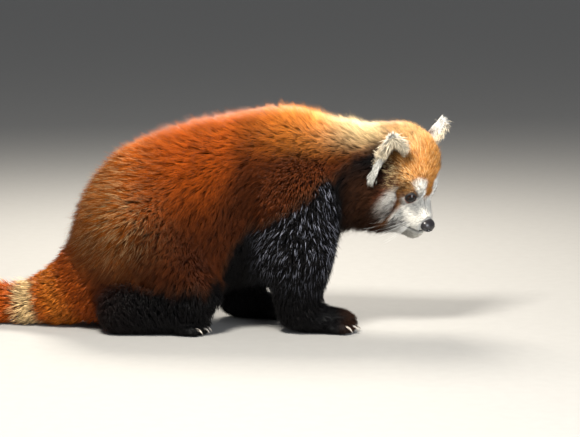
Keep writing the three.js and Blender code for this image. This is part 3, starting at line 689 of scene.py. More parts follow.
def body_colour(places):
    x, z = places[:, 0], places[:, 2]
    line = np.interp(x, *np.array(BLACK_LINE).T)
    ragged = 5 * waves(places * (1, 1, 0.5), 26, 1) + 2 * waves(places, 9, 2)
    shares = region_shares(places)
    # Darker down the flanks toward the black: partly the coat's own darkening, partly painted shade
    top = rise(z - line, 55, 155)
    colour = blend(DEEP, RUST, top)
    # Golden over the withers: partly the coat's own colour, partly a painted highlight of sunlight
    warm = np.exp(-(((x - 140) / 62) ** 2)) * rise(z, 205, 258)
    colour = blend(colour, GOLD, 0.85 * warm)
    # A painted highlight of sunlight, pale cream, on the nape; the dark of the throat is kept off it
    nape_highlight = np.exp(-(((x - 205) / 44) ** 2)) * rise(z + 0.12 * np.abs(places[:, 1]), 222, 252)
    colour = blend(colour, CREAM, 0.9 * nape_highlight)
    # A painted highlight, lighter and golden, along the top of the back
    crest = rise(z, 215, 268) * rise(-x, -130, 20)
    colour = blend(colour, (RUST + GOLD) / 2, 0.3 * crest)
    # A painted highlight, warm and golden, over the rump
    rump = np.exp(-(((x + 128) / 48) ** 2)) * rise(z, 20, 150)
    colour = blend(colour, (RUST + GOLD) / 2, 0.6 * rump)
    colour = colour * (1 + 0.16 * waves(places, 55, 4))[:, None]
    under = line + ragged - z
    soft = 7 + 9 * rise(-x, 30, 110)
    not_tail = rise(x, -190, -120)
    black = rise(under / soft, -1, 1) * not_tail
    brown = rise(under / soft, -2 + 0.7 * rise(x, 150, 190), -0.5) * (0.45 + 0.35 * rise(x, -60, 20))
    colour = blend(colour, BROWN, brown * not_tail * (1 - nape_highlight))
    throat = rise(x, 170, 196) * rise(215 - z, 0, 30)
    colour = blend(colour, BLACK, black * (1 - nape_highlight))
    colour = blend(colour, BROWN * 0.75, black * throat * 0.8)
    far, _ = along_tail(places)
    rings = 0.5 + 0.5 * np.sin((far + ragged + 3 * waves(places, 7, 5) - 84) / TAIL_RING * 2 * np.pi)
    ring = blend(RUST * 1.2, CREAM * 0.7 + TAN * 0.3, rise(rings, 0.2, 0.9))
    ring = blend(ring, (RUST + GOLD) / 2, 1 - rise(far, 60, 92))
    ring = blend(ring, RUST, 1 - rise(far, 30, 66))
    return blend(colour, ring, shares["tail"])


def coat_colour(places):
    shares = region_shares(places)
    face = rise(shares["head"], 0.2, 0.85)
    face = np.maximum(face, rise(in_head(places)[:, 0], 20, 32) * rise(shares["head"], 0.1, 0.25))
    return blend(body_colour(places), face_colour(places), face)


def write_colour(mesh, colours, name="marking"):
    """Stores a colour for each vertex."""
    layer = mesh.color_attributes.new(name, "FLOAT_COLOR", "POINT")
    layer.data.foreach_set("color", np.hstack((colours, np.ones((len(colours), 1)))).ravel())


def write_numbers(mesh, values, name):
    """Stores a number for each vertex."""
    layer = mesh.attributes.new(name, "FLOAT", "POINT")
    layer.data.foreach_set("value", values.ravel())


write_colour(skin.data, coat_colour(read_places(skin)))
skin_finish, blank, shader = finish("skin_under_fur", Roughness=0.7)
marking = blank.node("Attribute", {"attribute_name": "marking"})
body = blank.node("TexCoord", output=3)
streak = blank.noise(blank.node("Mapping", None, {"Vector": body, "Scale": (90, 240, 240)}), 6, 4)
shade = streak.between(0.3, 0.75) * 0.5 + 0.3
wire(shade.node("Mix", {"data_type": "RGBA", "blend_type": "MULTIPLY"}, {0: 1.0, 6: marking, 7: shade}, 2),
     shader, "Base Color")
wire(blank.node("Bump", None, {"Strength": 0.5, "Distance": 0.0006, "Height": streak}), shader, "Normal")


def dress(piece, material, slot, *nodes):
    """Gives a piece its finish, its body and the nodes it stands for."""
    piece.data.materials.clear()
    piece.data.materials.append(material)
    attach(piece, "root")
    if nodes:
        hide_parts(*nodes)


FLESH = ["torso", "neck", "head", "tail_1", "tail_2", "tail_3"]
FLESH += [kind + "_" + side for kind in ("foreleg", "forepaw", "thigh", "hindfoot") for side in SIDES]
dress(skin, skin_finish, "coat_rust", *FLESH)

# The coat: thin three-sided tufts of hair, rooted in the skin and bent over along its lie, longest on
# the back and tail and shortest on the face and feet. A tuft takes the marking that its outer part lies over.
PATCH = 0.003  # how wide a tuft's own patch of the unwrap is
LOWEST = 0.4  # no hair hangs lower than this over the floor
FACE_START = 2  # how far ahead in the head the short hair of the face begins
BODY_CLUMP = 4.8
FACE_CLUMP = 2.8
GUARD_HAIRS = 0.06  # the share of tufts that stand out over the others
MARKED_AT = 0.8  # how far along itself a tuft takes its marking
MIDDLE_AT = 0.42  # how far along itself a long tuft bends
EVEN_STEPS = (0.7548776662, 0.5698402910)  # steps that fill a square evenly
NOSE_BED = ((68.5, 0, -33), (11, 11.5, 9.5))  # the round of bare skin under the nose pad
TOP_LIE = math.radians(14)  # how far down from level the hair lies on the back
SIDE_LIE = math.radians(46)  # and how much more on the flanks
LIE = {  # which way it lies on the rest
    "neck": (-0.85, 0, -0.5), "thigh": (-0.62, 0, -0.8), "foreleg": (-0.22, 0, -1),
    "hindfoot": (0.55, 0, -0.6), "forepaw": (0.85, 0, -0.35),
}
dice = np.random.default_rng(11)


def scatter(piece, spacing):
    """Even roots over a piece: their places, the way out there and their spots on its unwrap."""
    mesh = piece.data
    mesh.calc_loop_triangles()
    count = len(mesh.loop_triangles)
    corners = np.empty(count * 3, np.int32)
    loops = np.empty(count * 3, np.int32)
    mesh.loop_triangles.foreach_get("vertices", corners)
    mesh.loop_triangles.foreach_get("loops", loops)
    corners, loops = corners.reshape(-1, 3), loops.reshape(-1, 3)
    places = read_places(piece)
    normals = read_rows(mesh.vertices, "normal")
    spots = read_rows(mesh.uv_layers["OFBake"].data, "uv", 2)
    a, b, c = (places[corners[:, k]] for k in range(3))
    area = np.linalg.norm(np.cross(b - a, c - a), axis=1) / 2
    wanted = area / spacing((a + b + c) / 3) ** 2
    edges = np.cumsum(wanted)
    number = int(edges[-1])
    chosen = np.searchsorted(edges, (np.arange(number) + 0.5) * edges[-1] / number)
    first, second = ((np.arange(number) * step + dice.uniform()) % 1 for step in EVEN_STEPS)
    over = first + second > 1
    first, second = np.where(over, 1 - first, first), np.where(over, 1 - second, second)
    weight = np.stack((1 - first - second, first, second), axis=1)[:, :, None]
    out = (normals[corners[chosen]] * weight).sum(axis=1)
    out /= np.linalg.norm(out, axis=1, keepdims=True)
    return (places[corners[chosen]] * weight).sum(axis=1), out, (spots[loops[chosen]] * weight).sum(axis=1)


def flat_to(ways, out):
    """Ways laid flat on the surface."""
    flat = ways - out * (ways * out).sum(axis=1)[:, None]
    return flat / np.maximum(np.linalg.norm(flat, axis=1, keepdims=True), 1e-6)


def grow(name, stations, colours, chance, spots, slot, tone):
    """Tufts through stations, each a place, across and ridge of all tufts there, that end in a point."""
    *rings, tips = stations
    number = len(tips)
    rows = []
    for place, across, ridge in rings:
        rows += [place - across, place + across, place + ridge]
    rows.append(tips)
    each = len(rows)
    places = np.stack(rows, axis=1).reshape(-1, 3)
    places[:, 2] = np.maximum(places[:, 2], LOWEST)
    left, right, top, end = 0, 1, 2, each - 1
    faces = [(right, top, left)]
    for i in range(len(rings) - 1):
        a, b = 3 * i, 3 * i + 3
        for p, q in ((right, top), (top, left), (left, right)):
            faces += [(a + p, b + p, b + q), (a + p, b + q, a + q)]
    last = 3 * (len(rings) - 1)
    faces += [(last + p, end, last + q) for p, q in ((right, top), (top, left), (left, right))]
    corners = np.array(faces)[None] + (np.arange(number) * each)[:, None, None]
    corners = corners.reshape(-1, 3).astype(np.int32)
    mesh = bpy.data.meshes.new(name)
    mesh.vertices.add(len(places))
    mesh.vertices.foreach_set("co", (places * MM + np.array(START)).ravel())
    mesh.loops.add(corners.size)
    mesh.loops.foreach_set("vertex_index", corners.ravel())
    mesh.polygons.add(len(corners))
    mesh.polygons.foreach_set("loop_start", np.arange(0, corners.size, 3, dtype=np.int32))
    mesh.update(calc_edges=True)
    mesh.polygons.foreach_set("use_smooth", np.ones(len(corners), bool))
    grown = np.concatenate([np.full(3, i / len(rings)) for i in range(len(rings))] + [np.ones(1)])
    sideways = np.array([-0.5, 0.5, 0] * len(rings) + [0])
    write_colour(mesh, np.repeat(colours, each, axis=0))
    write_numbers(mesh, np.tile(grown, number), "grown")
    write_numbers(mesh, np.repeat(chance, each), "chance")
    spread = np.stack((grown - 0.5, sideways), axis=1) * PATCH
    unwrap = (spots[:, None] + spread[None]).reshape(-1, 2)
    mesh.uv_layers.new(name="OFBake").data.foreach_set("uv", unwrap[corners.ravel()].ravel())
    piece = bpy.data.objects.new(name, mesh)
    bpy.context.scene.collection.objects.link(piece)
    dress(piece, tone, slot)
    return piece


def hair_finish(name, roughness, root_shade, tip_shade, uneven):
    """Painted shade at the hair's root, a painted highlight at its tip, and some tufts lighter than others.
    """
    material, blank, shader = finish(name, Roughness=roughness, Specular_IOR_Level=0.12)
    marking = blank.node("Attribute", {"attribute_name": "marking"})
    grown = blank.node("Attribute", {"attribute_name": "grown"}, output=2)
    chance = blank.node("Attribute", {"attribute_name": "chance"}, output=2)
    shade = (grown**1.2 * (tip_shade - root_shade) + root_shade) * (chance * uneven + 1 - uneven / 2)
    scaled = blank.node("VectorMath", {"operation": "SCALE"}, {"Vector": marking, "Scale": shade})
    wire(scaled, shader, "Base Color")
    return material


coat_finish = hair_finish("long_coat", 0.36, 0.12, 1.4, 1.1)
face_finish = hair_finish("short_coat", 0.5, 0.5, 1.3, 0.85)


def clumps(places, size):
    """The middle of the clump of tufts each place belongs to, and that clump's own chance."""
    bent = places + size * 0.6 * np.stack([waves(places, 3 * size, seed) for seed in (21, 22, 23)], axis=1)
    _, number = np.unique(np.floor(bent / size).astype(int), axis=0, return_inverse=True)
    number = number.ravel()
    count = np.bincount(number)
    middles = np.stack([np.bincount(number, places[:, axis]) for axis in range(3)], axis=1) / count[:, None]
    return middles[number], dice.uniform(size=len(count))[number]


def coat_lie(places, out):
    """Which way the hair lies: back and down the body, down the legs, along the tail, away from the nose."""
    shares = region_shares(places, 14.0)
    down = TOP_LIE + SIDE_LIE * (1 - np.clip(out[:, 2], 0, 1))
    torso = np.stack((-np.cos(down), np.zeros(len(down)), -np.sin(down)), axis=1)
    ways = torso * shares["torso"][:, None]
    for kind, way in LIE.items():
        ways += np.array(way)[None] * shares[kind][:, None]
    ways += along_tail(places)[1] * shares["tail"][:, None]
    away = places - on_head(74, 0, -30)
    away /= np.linalg.norm(away, axis=1, keepdims=True)
    ways += away * shares["head"][:, None]
    return flat_to(ways, out)


def skin_spacing(places):
    """How far apart tufts stand, closest on the face and feet."""
    depth = -height(places, 0)
    shares = region_shares(places)
    spacing = 0.62 + 0.092 * np.minimum(depth, 6) + 0.05 * np.maximum(depth - 6, 0)
    spacing = np.where(shares["tail"] > 0.5, spacing + 0.25, spacing)
    spacing = spacing * (1 + 0.2 * shares["foreleg"] + 0.33 * shares["hindfoot"])
    spacing = spacing * (1 - 0.31 * (shares["torso"] + shares["neck"] + shares["thigh"] + shares["head"]))
    face = (shares["head"] > 0.5) & (in_head(places)[:, 0] > FACE_START)
    return np.where(face, 0.32 + 0.034 * depth, spacing)


# Where tufts stand: none on the lids, lips, soles and under the nose
roots, out, spots = scatter(skin, skin_spacing)
bare = near_eyes(roots, 1.36) | (mouth_gap(roots) < 1.7) | (roots[:, 2] < SOLE + 0.4)
bare |= np.linalg.norm((in_head(roots) - NOSE_BED[0]) / NOSE_BED[1], axis=1) < 1
roots, out, spots = roots[~bare], out[~bare], spots[~bare]
depth = np.clip(-height(roots, 0), 1.0, 22)
eye_gap = np.min([eye_ring(eye, roots)[0] for eye in eyes.values()], axis=0)
depth *= 0.35 + 0.65 * rise(eye_gap, 1.4, 3.0)
shares = region_shares(roots)
kinds = list(shares)
kind_of = np.array(kinds)[np.argmax([shares[k] for k in kinds], axis=0)]
on_face = (kind_of == "head") & (in_head(roots)[:, 0] > FACE_START)
kind_of = np.where((kind_of == "head") & ~on_face, "neck", kind_of)
fine = np.isin(kind_of, ("torso", "neck", "thigh"))

# How they lie: each clump turns a little its own way, and so does each tuft in it
ways = coat_lie(roots, out)
body_middles, body_chance = clumps(roots, BODY_CLUMP)
face_middles, face_chance = clumps(roots, FACE_CLUMP)
middles = np.where(on_face[:, None], face_middles, body_middles)
chance = np.where(on_face, face_chance, body_chance)
turn = dice.normal(0, 0.14, len(roots)) + np.where(on_face, 0.3, 0.55) * (chance - 0.5)
side = np.cross(out, ways)
ways = ways * np.cos(turn)[:, None] + side * np.sin(turn)[:, None]
clump_lift = 0.9 + 0.4 * ((chance * 7.3) % 1)
lift = depth * dice.normal(0.80, 0.08, len(roots)).clip(0.5, 1.0) * clump_lift
lift *= 1 + 0.3 * (dice.uniform(size=len(roots)) > 1 - GUARD_HAIRS)
flat_share = 1.45 - 0.65 * rise(depth, 6, 14)
length = depth * (flat_share + 0.3 * dice.uniform(size=len(roots)))
temple = temple_share(in_head(roots + ways * (length * MARKED_AT)[:, None])) * on_face
crown = rise(in_head(roots)[:, 2], 4, 22) * on_face
length *= 1 + 0.25 * crown
face_width = (0.24 + 0.06 * depth) * (1 + 0.7 * crown)
body_width = 0.34 + np.where(fine, 0.057, 0.078) * depth
width = np.where(on_face, face_width, body_width) * dice.uniform(0.75, 1.25, len(roots))

# Their markings, flecked with dark and pale hairs on the temples and crown, pale hairs on the rump as a
# painted highlight, and painted glints of light on the black hair of the shoulder
colours = coat_colour(roots + ways * (length * MARKED_AT)[:, None])
fleck = dice.uniform(size=len(roots))
colours = blend(colours, BROWN, 0.9 * temple * (fleck < 0.42))
colours = blend(colours, CREAM, 0.6 * temple * (fleck > 0.72))
colours = blend(colours, STRIPE * 2, 0.6 * crown * (1 - temple) * (fleck < 0.25))
colours = blend(colours, CREAM, 0.5 * crown * (1 - temple) * (fleck > 0.85))
# Pale cream tips on the upper rump: a painted highlight of sunlight
rump = np.exp(-(((roots[:, 0] + 112) / 50) ** 2)) * rise(roots[:, 2], 70, 150)
colours = blend(colours, CREAM, 0.7 * rump * (fleck > 0.80))
# Painted glints: some black tufts of the shoulder turn bluish white, as light shining off their tips
glint_share = rise(0.03 - colours[:, 0], 0, 0.01) * rise(roots[:, 0], 60, 90) * rise(172 - roots[:, 0], 0, 16)
glint_share *= rise(roots[:, 2], 40, 120)
colours = blend(colours, PAINTED_GLINT, 0.8 * glint_share * (fleck > 0.82))

# Their form: the clump draws the outer part of each tuft in, and the coat keeps its depth
across = np.cross(ways, out)
raised = height(roots)
clump_pull = middles - roots
clump_pull -= out * (clump_pull * out).sum(axis=1)[:, None]


def station(t, t_up, share):
    """One station of the tufts: t along them, t_up of their lift and a share of their width."""
    place = roots + ways * (length * t)[:, None] + out * (lift * t_up)[:, None]
    if t > 0:
        place = place + clump_pull * (t * t * 0.6)
        place = place + out * np.clip(lift * t_up - height(place) + raised, -6, 6)[:, None]
    half = (width * share / 2)[:, None]
    return place, across * half, out * half * 0.8


base, middle = station(0, -0.1, 0.9), station(MIDDLE_AT, 0.66, 1.0)
tips = station(1, 1, 0)[0]
chance = 0.5 * chance + 0.5 * dice.uniform(size=len(roots))
chance = 0.55 + (chance - 0.55) * (1 - 0.6 * rise(colours[:, 2], 0.3, 0.6))

# Which tufts make which piece, by region, side and end of the body
right = np.where(on_face, in_head(roots)[:, 1], roots[:, 1]) < 0
front = roots[:, 0] > 20
PIECES = {
    "coat_ribs_right": ((kind_of == "torso") & right & front, "coat_rust"),
    "coat_ribs_left": ((kind_of == "torso") & ~right & front, "coat_rust"),
    "coat_rump_right": ((kind_of == "torso") & right & ~front, "coat_rust"),
    "coat_rump_left": ((kind_of == "torso") & ~right & ~front, "coat_rust"),
    "coat_neck": (kind_of == "neck", "coat_rust"),
    "coat_thigh_right": ((kind_of == "thigh") & right, "coat_rust"),
    "coat_thigh_left": ((kind_of == "thigh") & ~right, "coat_rust"),
    "coat_foreleg_right": ((kind_of == "foreleg") & right, "coat_black"),
    "coat_foreleg_left": ((kind_of == "foreleg") & ~right, "coat_black"),
    "coat_forepaws": (kind_of == "forepaw", "coat_black"),
    "coat_hindfoot_right": ((kind_of == "hindfoot") & right, "coat_black"),
    "coat_hindfoot_left": ((kind_of == "hindfoot") & ~right, "coat_black"),
    "coat_tail": (kind_of == "tail", "coat_ringed"),
    "coat_head_right": ((kind_of == "head") & right, "coat_face"),
    "coat_head_left": ((kind_of == "head") & ~right, "coat_face"),
}
for name, (chosen, slot) in PIECES.items():
    curved = slot in ("coat_black", "coat_ringed") and name != "coat_forepaws"
    rings = (base, middle) if curved else (base,)
    stations = [tuple(values[chosen] for values in ring) for ring in rings]
    tone = face_finish if slot == "coat_face" else coat_finish
    grow(name, [*stations, tips[chosen]], colours[chosen], chance[chosen], spots[chosen], slot, tone)

# The eyes: dark wet balls with a clear bulging front, a brown iris and a round pupil.
# Each sits in its lids and stands for the ball of the solids.
PUPIL_EDGE = (3.2, 3.7)
IRIS_EDGE = (5.0, 5.6)
CORNEA = {"rise": 0.7, "reach": 5.4}
eye_finish, blank, shader = finish(
    "wet_eye", Roughness=0.3, Specular_IOR_Level=0.0, Coat_Weight=1.0, Coat_Roughness=0.02, Coat_IOR=1.36
)
spot = blank.node("Attribute", {"attribute_name": "from_axis"}, output=2)
streaks = blank.noise(blank.node("TexCoord", output=3), 900, 2)
iris = streaks.mix(rgb(0.006, 0.002, 0.001), rgb(0.026, 0.008, 0.003))
pupil = spot.between(*PUPIL_EDGE).mix(rgb(0.002, 0.002, 0.002), iris)
wire(spot.between(*IRIS_EDGE).mix(pupil, rgb(0.006, 0.004, 0.004)), shader, "Base Color")
for side, eye in eyes.items():
    bpy.ops.object.select_all(action="DESELECT")
    turn = Vector(eye["way"]).to_track_quat("Z", "Y")
    bpy.ops.mesh.primitive_uv_sphere_add(
        segments=40, ring_count=28, radius=EYE["radius"] * MM, location=placed(eye["centre"]),
        rotation=turn.to_euler(),
    )
    ball = bpy.context.object
    ball.name = "eyeball_" + side
    bpy.ops.object.transform_apply(location=True, rotation=True, scale=True)
    places = read_places(ball)
    local = places - eye["centre"]
    ahead = local @ eye["way"]
    from_axis = np.linalg.norm(local - ahead[:, None] * eye["way"], axis=1)
    cornea = np.where(ahead > 0, CORNEA["rise"] * (1 - rise(from_axis, 0, CORNEA["reach"])), 0)
    write_places(ball, places + eye["way"] * cornea[:, None])
    write_numbers(ball.data, from_axis + np.where(ahead > 0, 0, 20), "from_axis")
    bpy.ops.object.shade_smooth()
    dress(ball, eye_finish, "eye", "eye_" + side)

# The nose: a moist black pad of leather with two comma-shaped nostrils and a cleft down its middle.
NOSE_CENTRE = np.array((67.5, 0, -33))
NOSE_RADII = np.array((10, 10.5, 8.5))
nose_finish, blank, shader = finish("nose_leather", Roughness=0.28, Coat_Weight=0.35, Coat_Roughness=0.15)
body = blank.node("TexCoord", output=3)
pebble = blank.node("TexVoronoi", None, {"Vector": body, "Scale": 1500.0})
wire(pebble.mix(rgb(0.006, 0.005, 0.006), rgb(0.022, 0.019, 0.022)), shader, "Base Color")
wire(blank.node("Bump", None, {"Strength": 0.35, "Distance": 0.00025, "Height": pebble}), shader, "Normal")
bpy.ops.object.select_all(action="DESELECT")
bpy.ops.mesh.primitive_uv_sphere_add(segments=56, ring_count=40, radius=1)
nose = bpy.context.object
nose.name = "nose_pad"
unit = read_rows(nose.data.vertices, "co")
shape = unit * NOSE_RADII
shape[:, 1] *= 1 + 0.16 * unit[:, 2]
shape[:, 0] *= np.where(unit[:, 0] > 0, 0.92, 1)
for s in SIDES.values():
    hole = np.hypot(shape[:, 1] - s * 4.6, shape[:, 2] + 0.6)
    inside = np.exp(-((hole / 1.9) ** 4)) * (unit[:, 0] > 0)
    comma = np.hypot((shape[:, 1] - s * 8.4) / 3.0, (shape[:, 2] + 1.4) / 0.9)
    inside += 0.55 * np.exp(-(comma**2)) * (unit[:, 0] > -0.2)
    rim = np.exp(-(((hole - 3.1) / 1.0) ** 2)) * (unit[:, 0] > 0)
    shape -= np.stack((inside * 4.6 - rim * 0.5, s * inside * 1.0, 0 * inside), axis=1)
cleft = np.exp(-((shape[:, 1] / 0.7) ** 2)) * rise(-unit[:, 2], 0.0, 0.3) * (unit[:, 0] > 0)
shape[:, 0] -= cleft * 1.3
write_places(nose, (shape + NOSE_CENTRE) @ HEAD_AXES.T + HEAD_CENTRE)
bpy.ops.object.shade_smooth()
dress(nose, nose_finish, "nose_skin", "nose")

# The ears: thin cupped leaves of skin, painted dark in the hollow as shade, with a dense cream fur
# on both faces and long white hair that fans out from the rim.
EAR = {"tall": 28, "sink": 12, "skirt": 17, "half": 14.5, "flare": 0.7, "cup": 10, "thick": 2.2}
EAR_FUR_SPACING = 0.76
FRINGE_HAIRS = 700
FRINGE_LENGTH = 9.5
HANGING = ((-13, 49, 38), (-9, 57, 29), (-6, 63, 21), (-3, 67, 13), (0, 69.5, 6), (2, 71, 0))
ear_finish, blank, shader = finish("ear_skin", Roughness=0.7)
marking = blank.node("Attribute", {"attribute_name": "marking"})
grain = blank.noise(blank.node("TexCoord", output=3), 700)
wire(grain.mix(marking, rgb(0.05, 0.04, 0.03), "MULTIPLY"), shader, "Base Color")
ears = {}
for side, s in SIDES.items():
    tip = head_way(-0.22, s * 0.5, 0.84)
    opening = head_way(0.8, s * 0.35, -0.25)
    opening -= tip * (opening @ tip)
    opening /= np.linalg.norm(opening)
    ears[side] = {
        "root": on_head(-8, s * 38, 37), "tip": tip, "open": opening, "inward": np.cross(tip, opening) * -s,
    }


def ear_place(ear, across, up, off):
    """A place on an ear: across from outer edge to inner, -1 to 1, up from root to tip, off its back."""
    half = EAR["half"] * np.sqrt(np.maximum(1 - np.maximum(up, 0) ** 3.2, 0.02))
    foot = -EAR["sink"] - (EAR["skirt"] - EAR["sink"]) * (1 - across) * 0.5
    along = foot + (EAR["tall"] - foot) * up
    hollow = EAR["cup"] * (half / EAR["half"]) * across**2 + 6 * up**2 - 4
    reach = half * across * np.where(across < 0, 1 + EAR["flare"] * (1 - up) ** 2, 0.82)
    return (
        ear["root"] + ear["tip"] * along[:, None] + ear["inward"] * reach[:, None]
        + ear["open"] * (hollow + off)[:, None]
    )


def ear_colour(across, up, inner):
    edge = rise(np.abs(across), 0.3, 0.75)
    edge = np.maximum(edge, rise(up, 0.55, 0.85))
    # Painted shade: the hollow of the ear is dark brown, cream to white toward its edges and top
    hollow = blend(BROWN * 1.6, (CREAM + WHITE) / 2, edge)
    behind = blend(DEEP, WHITE * 0.9, np.maximum(rise(np.abs(across), 0.3, 0.8), rise(up, 0.3, 0.7)))
    return np.where(inner[:, None], hollow, behind)


for side, ear in ears.items():
    s = SIDES[side]
    bpy.ops.object.select_all(action="DESELECT")
    bpy.ops.mesh.primitive_grid_add(x_subdivisions=26, y_subdivisions=34, size=2, calc_uvs=True)
    leaf = bpy.context.object
    leaf.name = "ear_skin_" + side
    leaf.data.uv_layers[0].name = "OFBake"
    grid = read_rows(leaf.data.vertices, "co")
    across, up = grid[:, 0], (grid[:, 1] + 1) / 2
    up = np.sin(up * np.pi / 2)
    write_places(leaf, ear_place(ear, across, up, np.zeros(len(across))))
    write_numbers(leaf.data, across, "ear_across")
    write_numbers(leaf.data, up, "ear_up")
    apply(leaf, "SOLIDIFY", thickness=EAR["thick"] * MM, offset=0.0)
    bpy.ops.object.mode_set(mode="EDIT")
    bpy.ops.mesh.select_all(action="SELECT")
    bpy.ops.mesh.normals_make_consistent(inside=False)
    bpy.ops.uv.smart_project(angle_limit=UNWRAP_ANGLE, island_margin=0.01)
    bpy.ops.object.mode_set(mode="OBJECT")
    bpy.ops.object.shade_smooth()
    across, up = (
        read_rows(leaf.data.attributes[name].data, "value", 1).ravel() for name in ("ear_across", "ear_up")
    )
    inner = read_rows(leaf.data.vertices, "normal") @ ear["open"] > 0
    write_colour(leaf.data, ear_colour(across, up, inner))
    dress(leaf, ear_finish, "coat_white", "ear_" + side)

    roots, out, spots = scatter(leaf, lambda p: np.full(len(p), EAR_FUR_SPACING))
    local = roots - ear["root"]
    up = np.clip((local @ ear["tip"] + EAR["sink"]) / (EAR["tall"] + EAR["sink"]), 0, 1)
    half = EAR["half"] * np.sqrt(np.maximum(1 - up**3.2, 0.02))
    across = local @ ear["inward"] / half
    across = np.clip(np.where(across < 0, across / (1 + EAR["flare"] * (1 - up) ** 2), across), -1.1, 1.1)
    inner = out @ ear["open"] > 0
    rim = np.maximum(rise(np.abs(across), 0.6, 0.95), rise(up, 0.8, 0.97))
    fringe = inner * rise(up, 0.4, 0.7)
    ways = ear["tip"] * (0.9 - 1.9 * fringe)[:, None] + ear["inward"] * (across * 0.9 * rim)[:, None]
    ways = flat_to(ways + dice.normal(0, 0.18, (len(roots), 3)), out)
    shown = height(roots) > -2
    length = (5.5 + 4 * rim + 3 * fringe) * dice.uniform(0.7, 1.2, len(roots))
    lift = np.where(inner, 0.6, 0.4) * length
    width = 0.34 + 0.035 * length
    side_way = np.cross(ways, out) * (width / 2)[:, None]
    ridge = out * (width * 0.4)[:, None]
    colours = ear_colour(across, up, inner)
    stations = [
        (roots - out * 0.4, side_way, ridge),
        (roots + ways * (length * 0.45)[:, None] + out * (lift * 0.7)[:, None], side_way, ridge),
        roots + ways * length[:, None] + out * lift[:, None],
    ]
    stations = [
        tuple(part[shown] for part in ring) if isinstance(ring, tuple) else ring[shown] for ring in stations
    ]
    chance = dice.uniform(size=shown.sum())
    grow("ear_fur_" + side, stations, colours[shown], chance, spots[shown], "coat_white", face_finish)

    # The long hair that hangs from the ear's outer edge down behind the temple
    path = np.array([on_head(x, s * y, z) for x, y, z in HANGING])
    t = dice.uniform(size=FRINGE_HAIRS) ** 0.85 * (len(path) - 1.9)
    step = t.astype(int)
    along = path[step + 1] - path[step]
    roots = path[step] + along * (t - step)[:, None]
    along /= np.linalg.norm(along, axis=1, keepdims=True)
    out = slope_of(roots)
    roots = roots + np.cross(out, along) * dice.normal(0, 1.7, (FRINGE_HAIRS, 1))
    roots = roots - out * (height(roots, 0) + 3)[:, None]
    length = FRINGE_LENGTH * dice.uniform(0.6, 1.3, FRINGE_HAIRS)
    ways = flat_to(along + dice.normal(0, 0.16, (FRINGE_HAIRS, 3)), out)
    side_way = np.cross(ways, out) * 0.34
    middle = roots + ways * (length * 0.45)[:, None]
    middle = middle - out * (height(middle, 0) - 2.0)[:, None]
    tips = roots + ways * length[:, None]
    tips = tips - out * (height(tips, 0) - dice.uniform(0.5, 3, FRINGE_HAIRS))[:, None]
    colours = blend(GREY * 0.7, WHITE * 0.9, dice.uniform(size=FRINGE_HAIRS))
    grow("ear_fringe_" + side, [(roots, side_way, out * 0.35), (middle, side_way, out * 0.35), tips], colours,
         dice.uniform(size=FRINGE_HAIRS), np.tile(spots[:1], (FRINGE_HAIRS, 1)), "coat_white", face_finish)

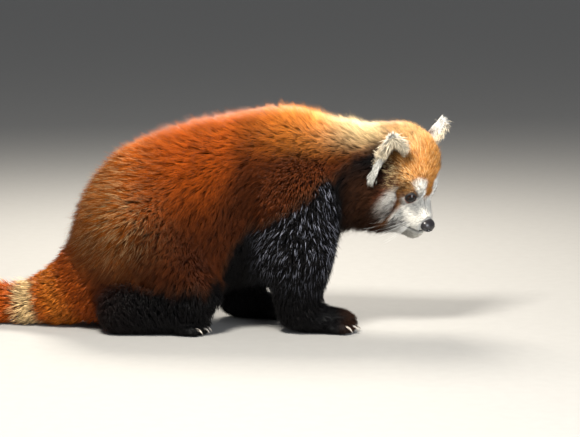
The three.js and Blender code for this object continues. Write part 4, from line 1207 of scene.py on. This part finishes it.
# The claws: short hooked cones of pale horn, one on each toe, bent downward out of its fur.
# Each stands for the plain claw of the solids.
CLAW = {"length": 11, "radius": 1.9, "bend": 1.15}
claw_finish, blank, shader = finish("claw_horn", Roughness=0.32, Coat_Weight=0.2)
horn = blank.noise(blank.node("TexCoord", output=3), 420, 4)
wire(horn.between(0.35, 0.7).mix(rgb(0.34, 0.29, 0.24), rgb(0.62, 0.57, 0.50)), shader, "Base Color")
for side in SIDES:
    for kind in ("forepaw", "hindfoot"):
        for number, (root, tip, way, radius) in enumerate(toes_of(kind, side), 1):
            bpy.ops.object.select_all(action="DESELECT")
            bpy.ops.mesh.primitive_cone_add(
                vertices=12, radius1=1, radius2=0.12, depth=1, location=(0, 0, 0.5)
            )
            claw = bpy.context.object
            claw.name = "claw_" + kind + "_" + side + "_horn_" + str(number)
            bpy.ops.object.transform_apply(location=True)
            bpy.ops.object.mode_set(mode="EDIT")
            bpy.ops.mesh.select_all(action="SELECT")
            bpy.ops.mesh.subdivide(number_cuts=3)
            bpy.ops.object.mode_set(mode="OBJECT")
            unit = read_rows(claw.data.vertices, "co")
            t = np.clip(unit[:, 2], 0, 1)
            bend = CLAW["bend"] * t
            ahead = np.array(way)
            aside = np.array((-way.y, way.x, 0))
            begin = np.array(tip + way * (radius - 5) + Vector((0, 0, 2.2)))
            reach = CLAW["length"] * t
            middle = begin + ahead * (reach * np.cos(bend * 0.55))[:, None]
            middle[:, 2] -= reach * np.sin(bend * 0.55)
            over = ahead * np.sin(bend)[:, None] + np.array((0, 0, 1)) * np.cos(bend)[:, None]
            places = middle + aside * (unit[:, 0] * CLAW["radius"])[:, None]
            places += over * (unit[:, 1] * CLAW["radius"] * 1.25)[:, None]
            write_places(claw, places)
            bpy.ops.object.shade_smooth()
            dress(claw, claw_finish, "claw_horn", "claw_" + kind + "_" + side + "_" + str(number))

# The whiskers: stiff white hairs in four rows of five, that sweep out and back from the pads beside the nose.
# They are rooted in the skin and droop a little towards their tips.
WHISKER_ROWS = 4
WHISKER_COLUMNS = 5
WHISKER_STEPS = 7
WHISKER_THICK = 0.32
whisker_finish, blank, shader = finish("whisker", Roughness=0.35)
tint = blank.noise(blank.node("TexCoord", output=3), 300)
wire(tint.mix(rgb(0.75, 0.74, 0.70), rgb(0.92, 0.91, 0.88)), shader, "Base Color")
for side, s in SIDES.items():
    roots, tips = [], []
    start = on_head(46, s * 8, -34)
    for row in range(WHISKER_ROWS):
        for column in range(WHISKER_COLUMNS):
            way = head_way(0.55 - 0.22 * column, s * (0.62 + 0.06 * column), 0.02 - 0.17 * row)
            roots.append(leave(start, way, 1))
            drift = head_way(-0.3 - 0.12 * column, s * 0.8, -0.35 - 0.15 * row)
            tips.append(drift * dice.uniform(20, 36) + head_way(0, 0, -1) * 3)
    roots, tips = np.array(roots), np.array(tips)
    out = slope_of(roots)
    along = tips / np.linalg.norm(tips, axis=1, keepdims=True)
    aside = np.cross(along, out)
    aside /= np.linalg.norm(aside, axis=1, keepdims=True)
    rings = []
    for i in range(WHISKER_STEPS):
        t = i / WHISKER_STEPS
        place = roots + out * (18 * t * (1 - t)) + tips * t + head_way(0, 0, -1) * (6 * t * t)
        thick = WHISKER_THICK * (1 - 0.75 * t)
        rings.append((place, aside * thick, np.cross(aside, along) * thick * 1.6))
    last = roots + tips + head_way(0, 0, -1) * 6
    grow("whiskers_" + side, [*rings, last], np.tile(WHITE, (len(roots), 1)), dice.uniform(size=len(roots)),
         np.full((len(roots), 2), 0.5), "coat_white", whisker_finish)
